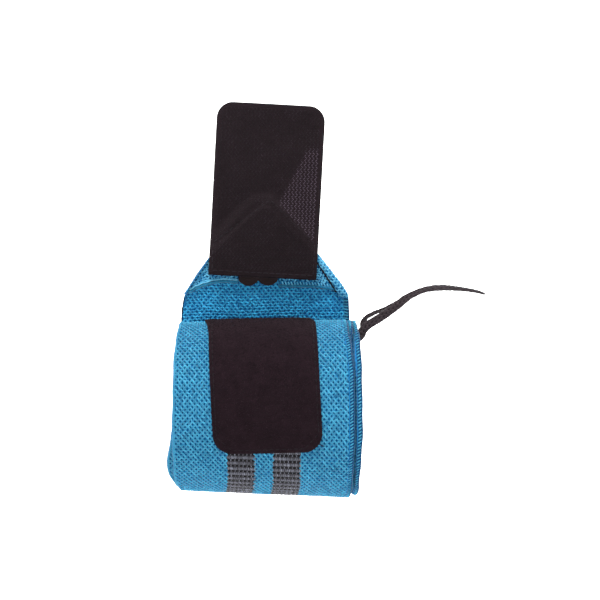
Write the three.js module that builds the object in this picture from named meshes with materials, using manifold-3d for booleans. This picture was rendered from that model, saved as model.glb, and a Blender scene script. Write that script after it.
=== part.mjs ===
// A wrist wrap for lifting, wound round a wrist with its closure tab held up, ready to be pressed down.
// Millimetres, +Z up. The wrist runs along X with the hand at +X, the patch faces -Y, and the origin is the
// middle of the wrist's hollow.

import * as THREE from 'three';
import { mergeVertices } from 'three/addons/utils/BufferGeometryUtils.js';
import Module from 'manifold-3d';

const wasm = await Module();
wasm.setup();

// Hollow for the wrist: an oval, taller than it is deep
const wristHeight = 63.4;
const wristDepth = 45;
const ovalPower = 2.3;

// How much the winding narrows at its forearm edge, above and below, and where across the band that starts
const topTaper = 0.025;
const bottomTaper = 0.085;
const taperStart = 0.45;

// Elastic band
const bandWidth = 75;
const bandThickness = 1.6;
const turnGap = 0.3;
const startTurn = -0.09;
const leaveTurn = 2.818;
const freeLength = 33.2;
const freeLean = 3;
const leanRun = 55;

// An inner turn's edge springs up beyond the edges of the turns that hold it down, nearly level with them
const lipClear = 0.7;
const lipRun = 2.3;
const lipShare = 0.9;

// Folded point at the band's free end
const foldAngle = 38;
const shoulderRise = 17;
const pointAngle = 46;
const pointEnd = 5;
const pointShift = -1;
const leastCorner = 0.4;

// Black tail that fills the notch between the folded corners
const tailWidth = 17;
const tailLength = 12.6;
const tailShift = -3.2;
const tailDrop = 3.6;
const tailNotch = 2.6;
const lobeRoundness = 0.6;

// Closure tab of hook tape
const tabWidth = 47;
const tabLength = 75;
const tabThickness = 1.6;
const tabRise = 7.1;
const tabShift = -1.4;
const tabTurn = 3.1;
const tabCorner = 7;
const tabDip = 2;
const tabDipStart = 2.2;
const tabDipRun = 5;
const tabCup = 1.6;

// Patch of loop pile on the outer turn
const patchWidth = 45;
const patchLength = 72.5;
const patchThickness = 1.1;
const patchStart = -3;
const patchTurn = -2.9;
const patchShift = 0.2;
const patchCorner = 8;

// Thumb loop of flat elastic
const loopWidth = 4;
const loopThickness = 1.3;
const loopTuck = 13;
const loopGap = 0.5;
const loopRise = 0.2;
const loopReach = 54;
const loopSpread = 25;
const loopLift = 21.2;

// Clearance between sewn layers, room for the flats between their rows, and how far fused layers sink in
const sewnGap = 0.3;
const facetRoom = 0.15;
const fuse = 0.1;

// Mesh steps
const stepsPerTurn = 52;
const pathStep = 1;
const cornerStep = 3;
const bandStep = 6;
const patchStep = 3.6;
const tabStep = 3;
const arcSteps = 5;
const cornerColumns = 6;
const patchColumns = 6;
const tabColumns = 16;
const tailColumns = 8;
const tailRows = 4;
const loopSteps = 76;
const mergeWithin = 1e-5;

// Where the band's columns of points lie, as shares of its width up to where its edge may spring up
const bandColumns = [0, 0.2, 0.4, 0.65, 1];

// The band's two edges along the winding: its middle's shift along X and its width, as shares of bandWidth.
const bandEdges = [
  { turn: -0.09, shift: 0.036, width: 0.972 },
  { turn: 0.0, shift: 0.035, width: 0.976 },
  { turn: 0.25, shift: 0.046, width: 0.993 },
  { turn: 0.5, shift: 0.035, width: 0.977 },
  { turn: 0.75, shift: 0.027, width: 0.973 },
  { turn: 1.0, shift: 0.016, width: 0.96 },
  { turn: 1.25, shift: -0.006, width: 0.98 },
  { turn: 1.38, shift: -0.046, width: 0.985 },
  { turn: 1.46, shift: -0.028, width: 0.949 },
  { turn: 1.75, shift: -0.02, width: 0.96 },
  { turn: 2.0, shift: -0.008, width: 0.947 },
  { turn: 2.25, shift: 0.0, width: 1.0 },
  { turn: 2.38, shift: -0.005, width: 0.997 },
  { turn: 2.5, shift: 0.004, width: 0.947 },
  { turn: 2.6, shift: 0.003, width: 0.952 },
  { turn: 2.75, shift: -0.019, width: 1.002 },
  { turn: 3.0, shift: 0.002, width: 0.972 },
  { turn: 6.0, shift: 0.002, width: 0.972 },
];

// The thumb loop's free run, from the strand in front round the thumb to the strand behind.
// reach, side and lift are shares of loopReach, loopSpread and loopLift, counted from where the front strand
// leaves the band. roll turns the strap's face from up, 0, to outwards, 90.
const loopRun = [
  { reach: 0.032, side: -0.34, lift: 0.06, roll: 36 },
  { reach: 0.072, side: -0.36, lift: 0.195, roll: 54 },
  { reach: 0.143, side: -0.4, lift: 0.35, roll: 64 },
  { reach: 0.22, side: -0.44, lift: 0.495, roll: 64 },
  { reach: 0.296, side: -0.48, lift: 0.635, roll: 56 },
  { reach: 0.381, side: -0.48, lift: 0.8, roll: 44 },
  { reach: 0.513, side: -0.5, lift: 0.945, roll: 32 },
  { reach: 0.63, side: -0.48, lift: 0.998, roll: 22 },
  { reach: 0.746, side: -0.44, lift: 0.985, roll: 16 },
  { reach: 0.861, side: -0.32, lift: 0.945, roll: 15 },
  { reach: 0.939, side: -0.16, lift: 0.91, roll: 18 },
  { reach: 0.972, side: 0.0, lift: 0.89, roll: 22 },
  { reach: 0.948, side: 0.18, lift: 0.91, roll: 20 },
  { reach: 0.88, side: 0.34, lift: 0.94, roll: 18 },
  { reach: 0.75, side: 0.48, lift: 0.965, roll: 18 },
  { reach: 0.565, side: 0.52, lift: 0.94, roll: 20 },
  { reach: 0.38, side: 0.5, lift: 0.77, roll: 22 },
  { reach: 0.222, side: 0.44, lift: 0.57, roll: 22 },
  { reach: 0.125, side: 0.38, lift: 0.475, roll: 20 },
  { reach: 0.068, side: 0.34, lift: 0.36, roll: 20 },
  { reach: 0.034, side: 0.31, lift: 0.08, roll: 20 },
];
const frontTailTurn = 0.056;
const rearTailTurn = -0.036;

const degree = Math.PI / 180;
const turnPitch = bandThickness + turnGap;

function ease(share) {
  const t = Math.min(1, Math.max(0, share));
  return t * t * (3 - 2 * t);
}

// Smooth value of one column of a table at a place along its key column.
function lookUp(table, key, column, place) {
  let i = 0;
  while (i < table.length - 2 && place > table[i + 1][key]) {
    i += 1;
  }
  const a = table[i];
  const b = table[i + 1];
  return a[column] + (b[column] - a[column]) * ease((place - a[key]) / (b[key] - a[key]));
}

// A point of the oval and its outward normal, in the YZ plane. Turn 0 is the top, 0.25 the front.
function ovalAt(turn) {
  const angle = turn * 2 * Math.PI;
  const halfDepth = wristDepth / 2;
  const halfHeight = wristHeight / 2;
  const s = Math.sin(angle);
  const c = Math.cos(angle);
  const y = -halfDepth * Math.sign(s) * Math.abs(s) ** (2 / ovalPower);
  const z = halfHeight * Math.sign(c) * Math.abs(c) ** (2 / ovalPower);
  const normal = new THREE.Vector2(
    (Math.sign(y) * Math.abs(y) ** (ovalPower - 1)) / halfDepth ** ovalPower,
    (Math.sign(z) * Math.abs(z) ** (ovalPower - 1)) / halfHeight ** ovalPower,
  ).normalize();
  return { y, z, normal };
}

// The winding's middle line at a turn, in the YZ plane.
function windingAt(turn) {
  const { y, z, normal } = ovalAt(turn);
  const out = bandThickness / 2 + turnPitch * (turn - startTurn);
  return { turn, y: y + normal.x * out, z: z + normal.y * out, normal };
}

// The band's whole middle line: the winding, then the free end, which leaves it at a tangent and straightens.
function makePath() {
  const points = [];
  const winds = Math.ceil((leaveTurn - startTurn) * stepsPerTurn);
  for (let i = 0; i <= winds; i++) {
    points.push(windingAt(Math.min(leaveTurn, startTurn + i / stepsPerTurn)));
  }
  const leave = points[points.length - 1];
  const leaveLean = Math.atan2(leave.normal.y, leave.normal.x);
  const freeEnd = freeLength + tabRise + tabLength + tabWidth;
  let y = leave.y;
  let z = leave.z;
  for (let run = pathStep; run <= freeEnd; run += pathStep) {
    const lean = leaveLean + (freeLean * degree - leaveLean) * ease((run - pathStep / 2) / leanRun);
    y -= Math.sin(lean) * pathStep;
    z += Math.cos(lean) * pathStep;
    const normal = new THREE.Vector2(Math.cos(lean), Math.sin(lean));
    points.push({ turn: leaveTurn + run / (Math.PI * wristHeight), y, z, normal });
  }
  points[0].along = 0;
  for (let i = 1; i < points.length; i++) {
    const back = points[i - 1];
    points[i].along = back.along + Math.hypot(points[i].y - back.y, points[i].z - back.z);
  }
  return points;
}

const path = makePath();
const leaveAlong = path.find((p) => p.turn >= leaveTurn).along;
const foldAlong = leaveAlong + freeLength;

// The middle line at a length along it.
function pathAt(along) {
  let i = 0;
  while (i < path.length - 2 && along > path[i + 1].along) {
    i += 1;
  }
  const a = path[i];
  const b = path[i + 1];
  const share = (along - a.along) / (b.along - a.along);
  return {
    turn: a.turn + (b.turn - a.turn) * share,
    y: a.y + (b.y - a.y) * share,
    z: a.z + (b.z - a.z) * share,
    normal: a.normal.clone().lerp(b.normal, share).normalize(),
  };
}

function alongAtTurn(turn) {
  const i = path.findIndex((p) => p.turn >= turn);
  const a = path[i - 1];
  const b = path[i];
  return a.along + ((b.along - a.along) * (turn - a.turn)) / (b.turn - a.turn);
}

// How much the forearm's taper scales a point: all of it on the winding, none of it up at the tab.
function taperAt(x, z) {
  const share = Math.max(0, taperStart - x / bandWidth) / (taperStart + 0.5);
  const low = ease(0.5 - z / wristHeight);
  const fade = 1 - ease((z - wristHeight / 2) / (wristHeight / 2));
  return 1 - (topTaper + (bottomTaper - topTaper) * low) * share * fade;
}

// Where one of the band's edges lies at a turn: side is -1 at the forearm and 1 at the hand.
function edgeAtTurn(turn, side) {
  const middle = lookUp(bandEdges, 'turn', 'shift', turn) * bandWidth;
  const half = (lookUp(bandEdges, 'turn', 'width', turn) * bandWidth) / 2;
  return middle + side * half;
}

function bandEdge(along, side) {
  return edgeAtTurn(pathAt(along).turn, side);
}

// How far across the turns that lie over a place of the band reach, at its hand side.
function heldTo(turn) {
  const next = edgeAtTurn(turn + 1, 1);
  return turn + 2 > leaveTurn ? next : Math.max(next, edgeAtTurn(turn + 2, 1));
}

// Where the hand-side edge begins to spring up: just beyond the edges of the turns over it.
function lipStartAt(turn) {
  return Math.min(edgeAtTurn(turn, 1) - lipRun / 2, heldTo(turn) + lipClear);
}

function lipAt(turn, x) {
  const levels = Math.max(0, 2 - turn);
  const room = ease((edgeAtTurn(turn, 1) - heldTo(turn)) / (lipClear + lipRun / 2));
  return lipShare * turnPitch * levels * room * ease((x - lipStartAt(turn)) / lipRun);
}

// The point at a length along the winding's middle line, a place across and a height above it.
function windingPoint(along, x, height) {
  const at = pathAt(along);
  const y = at.y + at.normal.x * height;
  const z = at.z + at.normal.y * height;
  const scale = taperAt(x, z);
  return new THREE.Vector3(x, y * scale, z * scale);
}

// The same on the band itself, with its edge sprung up.
function sheetPoint(along, x, height) {
  return windingPoint(along, x, height + lipAt(pathAt(along).turn, x));
}

// A closed plate: a box whose vertices are moved to place(column, row, face). Columns and rows count from 0,
// and face is 0 on the inner side and 1 on the outer.
function plate(columns, rows, place) {
  const box = new THREE.BoxGeometry(columns, rows, 1, columns, rows, 1);
  const position = box.attributes.position;
  for (let i = 0; i < position.count; i++) {
    const column = Math.round(position.getX(i) + columns / 2);
    const row = Math.round(position.getY(i) + rows / 2);
    const face = Math.round(0.5 - position.getZ(i));
    const p = place(column, row, face);
    position.setXYZ(i, p.x, p.y, p.z);
  }
  box.deleteAttribute('normal');
  box.deleteAttribute('uv');
  return mergeVertices(box, mergeWithin);
}

function solidOf(geometry) {
  const mesh = new wasm.Mesh({
    numProp: 3,
    vertProperties: geometry.attributes.position.array,
    triVerts: new Uint32Array(geometry.index.array),
  });
  return new wasm.Manifold(mesh);
}

function geometryOf(solid) {
  const mesh = solid.getMesh();
  const geometry = new THREE.BufferGeometry();
  geometry.setAttribute('position', new THREE.BufferAttribute(new Float32Array(mesh.vertProperties), 3));
  geometry.setIndex(new THREE.BufferAttribute(new Uint32Array(mesh.triVerts), 1));
  geometry.computeVertexNormals();
  return geometry;
}

function named(name, geometry, material) {
  const mesh = new THREE.Mesh(geometry, material);
  mesh.name = name;
  return mesh;
}

function evenSteps(from, to, longest) {
  const count = Math.max(1, Math.ceil((to - from) / longest));
  return Array.from({ length: count + 1 }, (_, i) => from + ((to - from) * i) / count);
}

// The folded point: its half width where the folds begin and where they turn in, and how long it is.
const foldHalfWidth = (bandEdge(foldAlong, 1) - bandEdge(foldAlong, -1)) / 2;
const foldMiddle = (bandEdge(foldAlong, 1) + bandEdge(foldAlong, -1)) / 2;
const shoulderHalf = foldHalfWidth - shoulderRise * Math.tan(foldAngle * degree);
const pointLength = shoulderRise + (shoulderHalf - pointEnd / 2) / Math.tan(pointAngle * degree);

function pointMiddle(along) {
  return foldMiddle + (pointShift * (along - foldAlong)) / pointLength;
}

function pointHalf(along) {
  const up = along - foldAlong;
  const low = Math.min(up, shoulderRise) * Math.tan(foldAngle * degree);
  const high = Math.max(0, up - shoulderRise) * Math.tan(pointAngle * degree);
  return foldHalfWidth - low - high;
}

// The band's edge at a length along it, on the winding, the free end and the folded point.
function sheetEdge(along, side) {
  return along > foldAlong ? pointMiddle(along) + side * pointHalf(along) : bandEdge(along, side);
}

// The band, wound and free, up to where its corners are folded, then narrowing along the folds.
function bandSheet() {
  const wound = path.filter((p) => p.turn <= leaveTurn).map((p) => p.along);
  const free = evenSteps(leaveAlong, foldAlong, bandStep).slice(1);
  const point = evenSteps(foldAlong, foldAlong + pointLength, bandStep).slice(1);
  const rows = [...wound, ...free, ...point];
  return plate(bandColumns.length + 1, rows.length - 1, (column, row, face) => {
    const along = rows[row];
    const left = sheetEdge(along, -1);
    const right = sheetEdge(along, 1);
    const lipStart = along > foldAlong ? right - lipRun / 2 : lipStartAt(pathAt(along).turn);
    const flat = bandColumns.map((share) => left + (lipStart - left) * share);
    const x = [...flat, (lipStart + right) / 2, right][column];
    return sheetPoint(along, x, (face - 0.5) * bandThickness);
  });
}

// One folded corner, lying on the band's inner face: its lower edge is the band's own edge, turned inwards.
function foldedCorner(side) {
  const rise = Math.tan((90 - 2 * foldAngle) * degree);
  const inner = tailWidth / 2 + sewnGap + side * tailShift;
  const first = foldAlong + cornerStep / 4;
  const full = foldAlong + (foldHalfWidth - inner) * rise;
  const low = evenSteps(first, full, cornerStep);
  const high = evenSteps(full, foldAlong + pointLength, bandStep).slice(1);
  const rows = [...low, ...high];
  return plate(cornerColumns, rows.length - 1, (column, row, face) => {
    const along = rows[row];
    const turnedEdge = foldHalfWidth - (along - foldAlong) / rise;
    const slit = Math.min(inner, pointHalf(along) * (1 - leastCorner));
    const near = along < full ? turnedEdge : slit;
    const across = near + ((pointHalf(along) - near) * column) / cornerColumns;
    const mirrored = pointHalf(along) + ((near - pointHalf(along)) * column) / cornerColumns;
    const x = pointMiddle(along) + side * (side > 0 ? across : mirrored);
    return sheetPoint(along, x, face ? fuse - bandThickness / 2 : -bandThickness * 1.5);
  });
}

function band() {
  const whole = solidOf(bandSheet()).add(solidOf(foldedCorner(-1))).add(solidOf(foldedCorner(1)));
  return geometryOf(whole);
}

// Half width of a plate with rounded corners, at a distance from its nearer end.
function roundedHalf(halfWidth, corner, fromEnd) {
  const short = Math.max(0, corner - fromEnd);
  return halfWidth - corner + Math.sqrt(Math.max(0, corner * corner - short * short));
}

// Rows of a plate that is rounded at its ends: close together along the corners' arcs.
function roundedRows(length, lowCorner, highCorner, step) {
  const rows = [];
  for (let i = 0; i < arcSteps && lowCorner > 0; i++) {
    rows.push(lowCorner * (1 - Math.cos((i / arcSteps) * 90 * degree)));
  }
  rows.push(...evenSteps(lowCorner, length - highCorner, step));
  for (let i = 1; i <= arcSteps && highCorner > 0; i++) {
    rows.push(length - highCorner + highCorner * Math.sin((i / arcSteps) * 90 * degree));
  }
  return rows;
}

// The patch of loop pile, turned a little on the outer turn, from the top of the wrist down the front.
function loopPatch() {
  const start = alongAtTurn(2) + patchStart;
  const rows = roundedRows(patchLength, patchCorner, patchCorner, patchStep);
  const turn = patchTurn * degree;
  const inner = bandThickness / 2 + sewnGap + facetRoom;
  return plate(patchColumns, rows.length - 1, (column, row, face) => {
    const down = rows[row];
    const half = roundedHalf(patchWidth / 2, patchCorner, Math.min(down, patchLength - down));
    const u = (column / patchColumns - 0.5) * 2 * half;
    const v = down - patchLength / 2;
    const x = patchShift + u * Math.cos(turn) - v * Math.sin(turn);
    const along = start + patchLength / 2 + u * Math.sin(turn) + v * Math.cos(turn);
    return windingPoint(along, x, inner + face * patchThickness);
  });
}

// How far the tab dips back where it lies outside the folded point beneath it.
function dipAt(along, x) {
  const beyondEnd = along - (foldAlong + pointLength);
  const beyondSide = (Math.abs(x - pointMiddle(along)) - pointHalf(along)) * Math.cos(pointAngle * degree);
  return tabDip * ease((Math.max(beyondEnd, beyondSide) - tabDipStart) / tabDipRun);
}

// The closure tab: a strip of hook tape over the folded point, its upper end held up and a little cupped.
function hookTab() {
  const rows = roundedRows(tabLength, 0, tabCorner, tabStep);
  const turn = tabTurn * degree;
  const seat = -bandThickness * 1.5 - sewnGap;
  return plate(tabColumns, rows.length - 1, (column, row, face) => {
    const up = rows[row];
    const half = roundedHalf(tabWidth / 2, tabCorner, tabLength - up);
    const u = (column / tabColumns - 0.5) * 2 * half;
    const x = tabShift + u * Math.cos(turn) + up * Math.sin(turn);
    const along = foldAlong + tabRise - u * Math.sin(turn) + up * Math.cos(turn);
    const cup = tabCup * ((2 * u) / tabWidth) ** 2 * ease((up - tabLength / 2) / (tabLength / 2));
    const high = seat + dipAt(along, x) + cup;
    return windingPoint(along, x, high + (face - 1) * tabThickness);
  });
}

// The black tail between the folded corners, with a notch in its lower edge.
function tabTail() {
  const low = foldAlong + tabRise - tailDrop;
  const high = -bandThickness / 2 - sewnGap;
  return plate(tailColumns, tailRows, (column, row, face) => {
    const across = column / tailColumns;
    const lobe = Math.abs(Math.sin(across * 2 * Math.PI));
    const bottom = low + tailNotch * (1 - lobe ** lobeRoundness);
    const along = bottom + ((low + tailLength - bottom) * row) / tailRows;
    const x = pointMiddle(along) + tailShift + (across - 0.5) * tailWidth;
    return windingPoint(along, x, high + (face - 1) * (bandThickness - sewnGap));
  });
}

// A station of one of the loop's tails: it lies flat under the band's inner face, near the hand-side edge.
function tailStation(turn, inset, rise) {
  const along = alongAtTurn(turn);
  const { normal } = pathAt(along);
  const height = rise - bandThickness / 2 - loopGap - loopThickness / 2;
  const centre = windingPoint(along, bandEdge(along, 1) - inset, height);
  return { centre, roll: Math.abs(Math.atan2(normal.x, normal.y)) / degree };
}

// The stations of one tail, from its sewn end out to the band's edge.
function tailStations(turn) {
  return [
    tailStation(turn, loopTuck, 0),
    tailStation(turn, loopTuck / 2, 0),
    tailStation(turn, lipRun, 0),
    tailStation(turn, 0, loopRise),
  ];
}

// The thumb loop: a flat strap sewn under the band at both ends.
function thumbLoop() {
  const front = tailStations(frontTailTurn);
  const rear = tailStations(rearTailTurn).reverse();
  const exit = front[front.length - 1].centre;
  const run = loopRun.map((r) => ({
    centre: new THREE.Vector3(exit.x + r.reach * loopReach, r.side * loopSpread, exit.z + r.lift * loopLift),
    roll: r.roll,
  }));
  const stations = [...front, ...run, ...rear];
  const curve = new THREE.CatmullRomCurve3(stations.map((s) => s.centre), false, 'centripetal');
  const up = new THREE.Vector3(0, 0, 1);
  return plate(2, loopSteps, (column, row, face) => {
    const t = row / loopSteps;
    const tangent = curve.getTangent(t);
    const place = t * (stations.length - 1);
    const i = Math.min(stations.length - 2, Math.floor(place));
    const roll = (stations[i].roll + (stations[i + 1].roll - stations[i].roll) * (place - i)) * degree;
    const outward = new THREE.Vector3().crossVectors(tangent, up).normalize();
    const thick = up.clone().multiplyScalar(Math.cos(roll)).addScaledVector(outward, Math.sin(roll));
    thick.addScaledVector(tangent, -thick.dot(tangent)).normalize();
    const width = new THREE.Vector3().crossVectors(thick, tangent);
    return curve
      .getPoint(t)
      .addScaledVector(width, (column - 1) * (loopWidth / 2))
      .addScaledVector(thick, (face - 0.5) * loopThickness);
  });
}

const elastic = new THREE.MeshStandardMaterial({ color: '#3f9ed2', roughness: 0.85, metalness: 0 });
const pile = new THREE.MeshStandardMaterial({ color: '#2a2126', roughness: 0.95, metalness: 0 });
const hookTape = new THREE.MeshStandardMaterial({ color: '#2b2328', roughness: 0.7, metalness: 0 });
const braid = new THREE.MeshStandardMaterial({ color: '#332f33', roughness: 0.9, metalness: 0 });

const wrap = new THREE.Group();
wrap.add(named('band', band(), elastic));
wrap.add(named('loop_patch', loopPatch(), pile));
wrap.add(named('hook_tab', hookTab(), hookTape));
wrap.add(named('tab_tail', tabTail(), hookTape));
wrap.add(named('thumb_loop', thumbLoop(), braid));

export default wrap;
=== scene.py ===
# A wrist wrap for lifting, wound three turns round a wrist, with its closure tab held up behind. Sizes are
# in millimetres in the tables and functions, and meshes are made in metres, in the frame of the part: +X
# towards the hand, +Z up, the patch faces -Y, and the origin is the middle of the wrist's hollow.

import math

import bpy
import numpy as np
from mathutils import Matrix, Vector


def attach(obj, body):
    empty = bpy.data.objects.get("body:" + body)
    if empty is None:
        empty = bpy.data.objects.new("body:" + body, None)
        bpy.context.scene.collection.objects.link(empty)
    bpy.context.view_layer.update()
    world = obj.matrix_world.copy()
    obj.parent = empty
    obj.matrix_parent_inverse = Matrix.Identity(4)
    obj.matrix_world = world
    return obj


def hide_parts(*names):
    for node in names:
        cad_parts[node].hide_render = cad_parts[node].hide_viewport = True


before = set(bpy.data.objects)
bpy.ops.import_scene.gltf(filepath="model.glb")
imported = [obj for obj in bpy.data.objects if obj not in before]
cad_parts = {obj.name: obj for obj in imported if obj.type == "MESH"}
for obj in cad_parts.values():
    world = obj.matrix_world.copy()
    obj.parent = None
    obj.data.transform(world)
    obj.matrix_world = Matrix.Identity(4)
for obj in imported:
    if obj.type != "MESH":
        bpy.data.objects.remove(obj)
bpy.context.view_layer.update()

MM = 0.001
DEGREE = math.pi / 180

# Hollow for the wrist, and its taper towards the forearm
wrist_height = 63.4
wrist_depth = 45
oval_power = 2.3
top_taper = 0.025
bottom_taper = 0.085
taper_start = 0.45

# Elastic band
band_width = 75
band_thickness = 1.6
cloth_thickness = 1.2
turn_gap = 0.3
start_turn = -0.09
leave_turn = 2.818
free_length = 33.2
free_lean = 3
lean_run = 55
lip_run = 2.3
lip_gap = 0.1
top_lip_gap = -0.5
lip_rise_run = 1.1
top_corner_turn = 0.12
top_corner_drop = 1.1
top_corner_run = 1.2
lip_zone = 5.5
lip_share = 0.9
band_step = 1.5
band_step_across = 2.0
lip_step = 0.35
column_slack = 0.2
ripple_start = 2
ripple_fade = 20
yarn_seat = 0.02
skin_height = cloth_thickness / 2 + yarn_seat

# Folded point and the black tail in its notch
fold_angle = 38
fold_round = 3
fold_roll = 1.85
fold_pinch = 0.5
roll_swell = 1.2
roll_loss = 0.5
roll_run = 22
roll_start = 2.5
roll_lead = 3
roll_face = 0.6
roll_fade = 4
roll_seat = 0.7
roll_depth = 1.45
roll_rows = 60
roll_sides = 16
corner_seat = 0.08
corner_net_up = 18
corner_net_tone = 0.55
corner_tick_up = 1.3
corner_tick_angle = 1.95
bead_length = 34
bead_lines = 6
bead_pitch = 0.95
bead_shift = 0.6
bead_angle = 0.75
crease_pitch = 1.1
shoulder_rise = 17
point_angle = 46
point_end = 5
point_shift = -1
least_corner = 0.3
tail_width = 17
tail_length = 12.6
tail_shift = -3.2
tail_drop = 3.6
tail_notch = 2.6
lobe_roundness = 0.6

# Closure tab
tab_width = 47
tab_length = 75
tab_thickness = 1.6
tab_rise = 7.1
tab_shift = -1.4
tab_turn = 3.1
tab_corner = 7
tab_dip = 2
tab_dip_start = 2.2
tab_dip_run = 5
tab_cup = 1.6
tab_step = 0.5
tab_ridge = 0.5
ridge_top = 34.5
ridge_slope = 0.93
ridge_middle = 1.7
ridge_run = 1.5
tab_stitch_in = 1.6
tab_step_lead = 0.3
tab_step_run = 1.2
tab_sink = 0.2
tab_rim = 0.6
tab_grid = 0.8

# Patch of loop pile
patch_width = 45
patch_length = 72.5
patch_thickness = 1.0
patch_start = -3
patch_turn = -2.9
patch_shift = 0.2
patch_corner = 8
patch_top_corner = 2.5
patch_round_corner = 15
patch_flare = 1.7
patch_flare_run = 20
patch_seat = 0.05
patch_rim = 0.9
patch_grid = 1.5
tuft_count = 8000

# Thumb loop
loop_width = 4
loop_thickness = 1.3
loop_tuck = 13
loop_gap = 0.5
loop_rise = 0.2
loop_reach = 54
loop_spread = 25
loop_lift = 22.0
front_tail_turn = 0.056
rear_tail_turn = -0.036
braid_strands = 10
braid_period = 9.0
braid_step = 0.4
braid_swing = 1.08
braid_lift = 0.3
braid_in = 0.35
strand_half_width = 0.42
strand_half_thickness = 0.3
strand_sides = 6
core_in = 0.25
core_half_thickness = 0.32
core_sides = 12
loop_steps = 24

sewn_gap = 0.3
turn_pitch = band_thickness + turn_gap

# Weave of the elastic: its open holes lie in staggered rows, its stripes' holes in a plain grid
hole_across = 2.0
hole_along = 2.52
stripe_width = 11.7
stripe_gap = 7.0
stripe_holes = 7
stripe_hole_across = stripe_width / stripe_holes
stripe_hole_along = 2.8
edge_pitch = 1.3
inner_float_angle = 0.7
tone_spread = 0.2
place_spread = 0.1
angle_spread = 0.19
size_spread = 0.13
# Painted highlight on yarns that rise to one side and painted shade on those that cross them
rising_highlight = 0.12
crossing_shade = -0.1
light_yarn_share = 0.16
light_yarn_tone = 0.45
stripe_tone_spread = 0.12
stripe_angle_spread = 0.16
net_margin = 2
peeping_reach = 6
float_wobble = 0.25
float_wobble_run = 5.5
float_wobble_bend = 0.6
float_wobble_bend_run = 4
hook_pitch = 1.0
hook_reach = 0.75
hook_rise = 0.6
hook_wire = 0.15
hook_variation = 0.12
hook_points = 6
hook_wire_sides = 3
hook_start = -0.35
hook_sweep = 4.2
hook_columns = 28
hook_column_share = 0.8
hook_swing = 0.2
hook_turn = 1.05
zigzag_turn = 0.75
hooks_from = 3.5
hooks_to = 2
hooks_in = 2.2
# Painted glint: a triangle of the tab where the hooks and their backing zigzag are painted lighter
glint_row = 32
glint_across = 4.6
glint_top = 58
glint_low_slope = -1.03
glint_high_slope = 0.47
glint_run = 1.5
glint_fade = 4
plain_edge = 0.8
ladder_edge = 2.3
inner_ladder_edge = 3.8
ladder_from = 0.45
ladder_to = 2.0
far_from_edges = 50
edge_start = 1.0
edge_end = 0.5
cord_pitch = 0.75 * edge_pitch

# The band's two edges along the winding: its middle's shift along X and its width, as shares of band_width
band_edges = [
    {"turn": -0.09, "shift": 0.036, "width": 0.972},
    {"turn": 0.0, "shift": 0.035, "width": 0.976},
    {"turn": 0.25, "shift": 0.046, "width": 0.993},
    {"turn": 0.5, "shift": 0.035, "width": 0.977},
    {"turn": 0.75, "shift": 0.027, "width": 0.973},
    {"turn": 1.0, "shift": 0.016, "width": 0.96},
    {"turn": 1.25, "shift": -0.006, "width": 0.98},
    {"turn": 1.38, "shift": -0.046, "width": 0.985},
    {"turn": 1.46, "shift": -0.028, "width": 0.949},
    {"turn": 1.75, "shift": -0.02, "width": 0.96},
    {"turn": 2.0, "shift": -0.008, "width": 0.947},
    {"turn": 2.25, "shift": 0.0, "width": 1.0},
    {"turn": 2.38, "shift": -0.005, "width": 0.997},
    {"turn": 2.5, "shift": 0.004, "width": 0.947},
    {"turn": 2.6, "shift": 0.003, "width": 0.952},
    {"turn": 2.75, "shift": -0.019, "width": 1.002},
    {"turn": 3.0, "shift": 0.002, "width": 0.972},
    {"turn": 6.0, "shift": 0.002, "width": 0.972},
]

# Where the weave's middle lies between its two stripes, as shares of band_width
weave_middles = [
    {"turn": -0.09, "middle": 0.03},
    {"turn": 1.0, "middle": 0.01},
    {"turn": 2.0, "middle": -0.01},
    {"turn": 2.38, "middle": 0.0},
    {"turn": 2.5, "middle": -0.02},
    {"turn": 2.75, "middle": -0.01},
    {"turn": 3.0, "middle": 0.002},
    {"turn": 6.0, "middle": 0.002},
]

# Lower edges of the folded corners, left and right: how far in from the fold and how high, as shares of
# band_width
corner_edges = [
    {"inward": 0.0, "left": 0.0, "right": 0.0},
    {"inward": 0.024, "left": 0.003, "right": 0.005},
    {"inward": 0.049, "left": 0.01, "right": 0.011},
    {"inward": 0.088, "left": 0.03, "right": 0.022},
    {"inward": 0.13, "left": 0.045, "right": 0.03},
    {"inward": 0.185, "left": 0.059, "right": 0.037},
    {"inward": 0.24, "left": 0.065, "right": 0.041},
    {"inward": 0.31, "left": 0.06, "right": 0.042},
    {"inward": 0.41, "left": 0.055, "right": 0.044},
]

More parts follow.
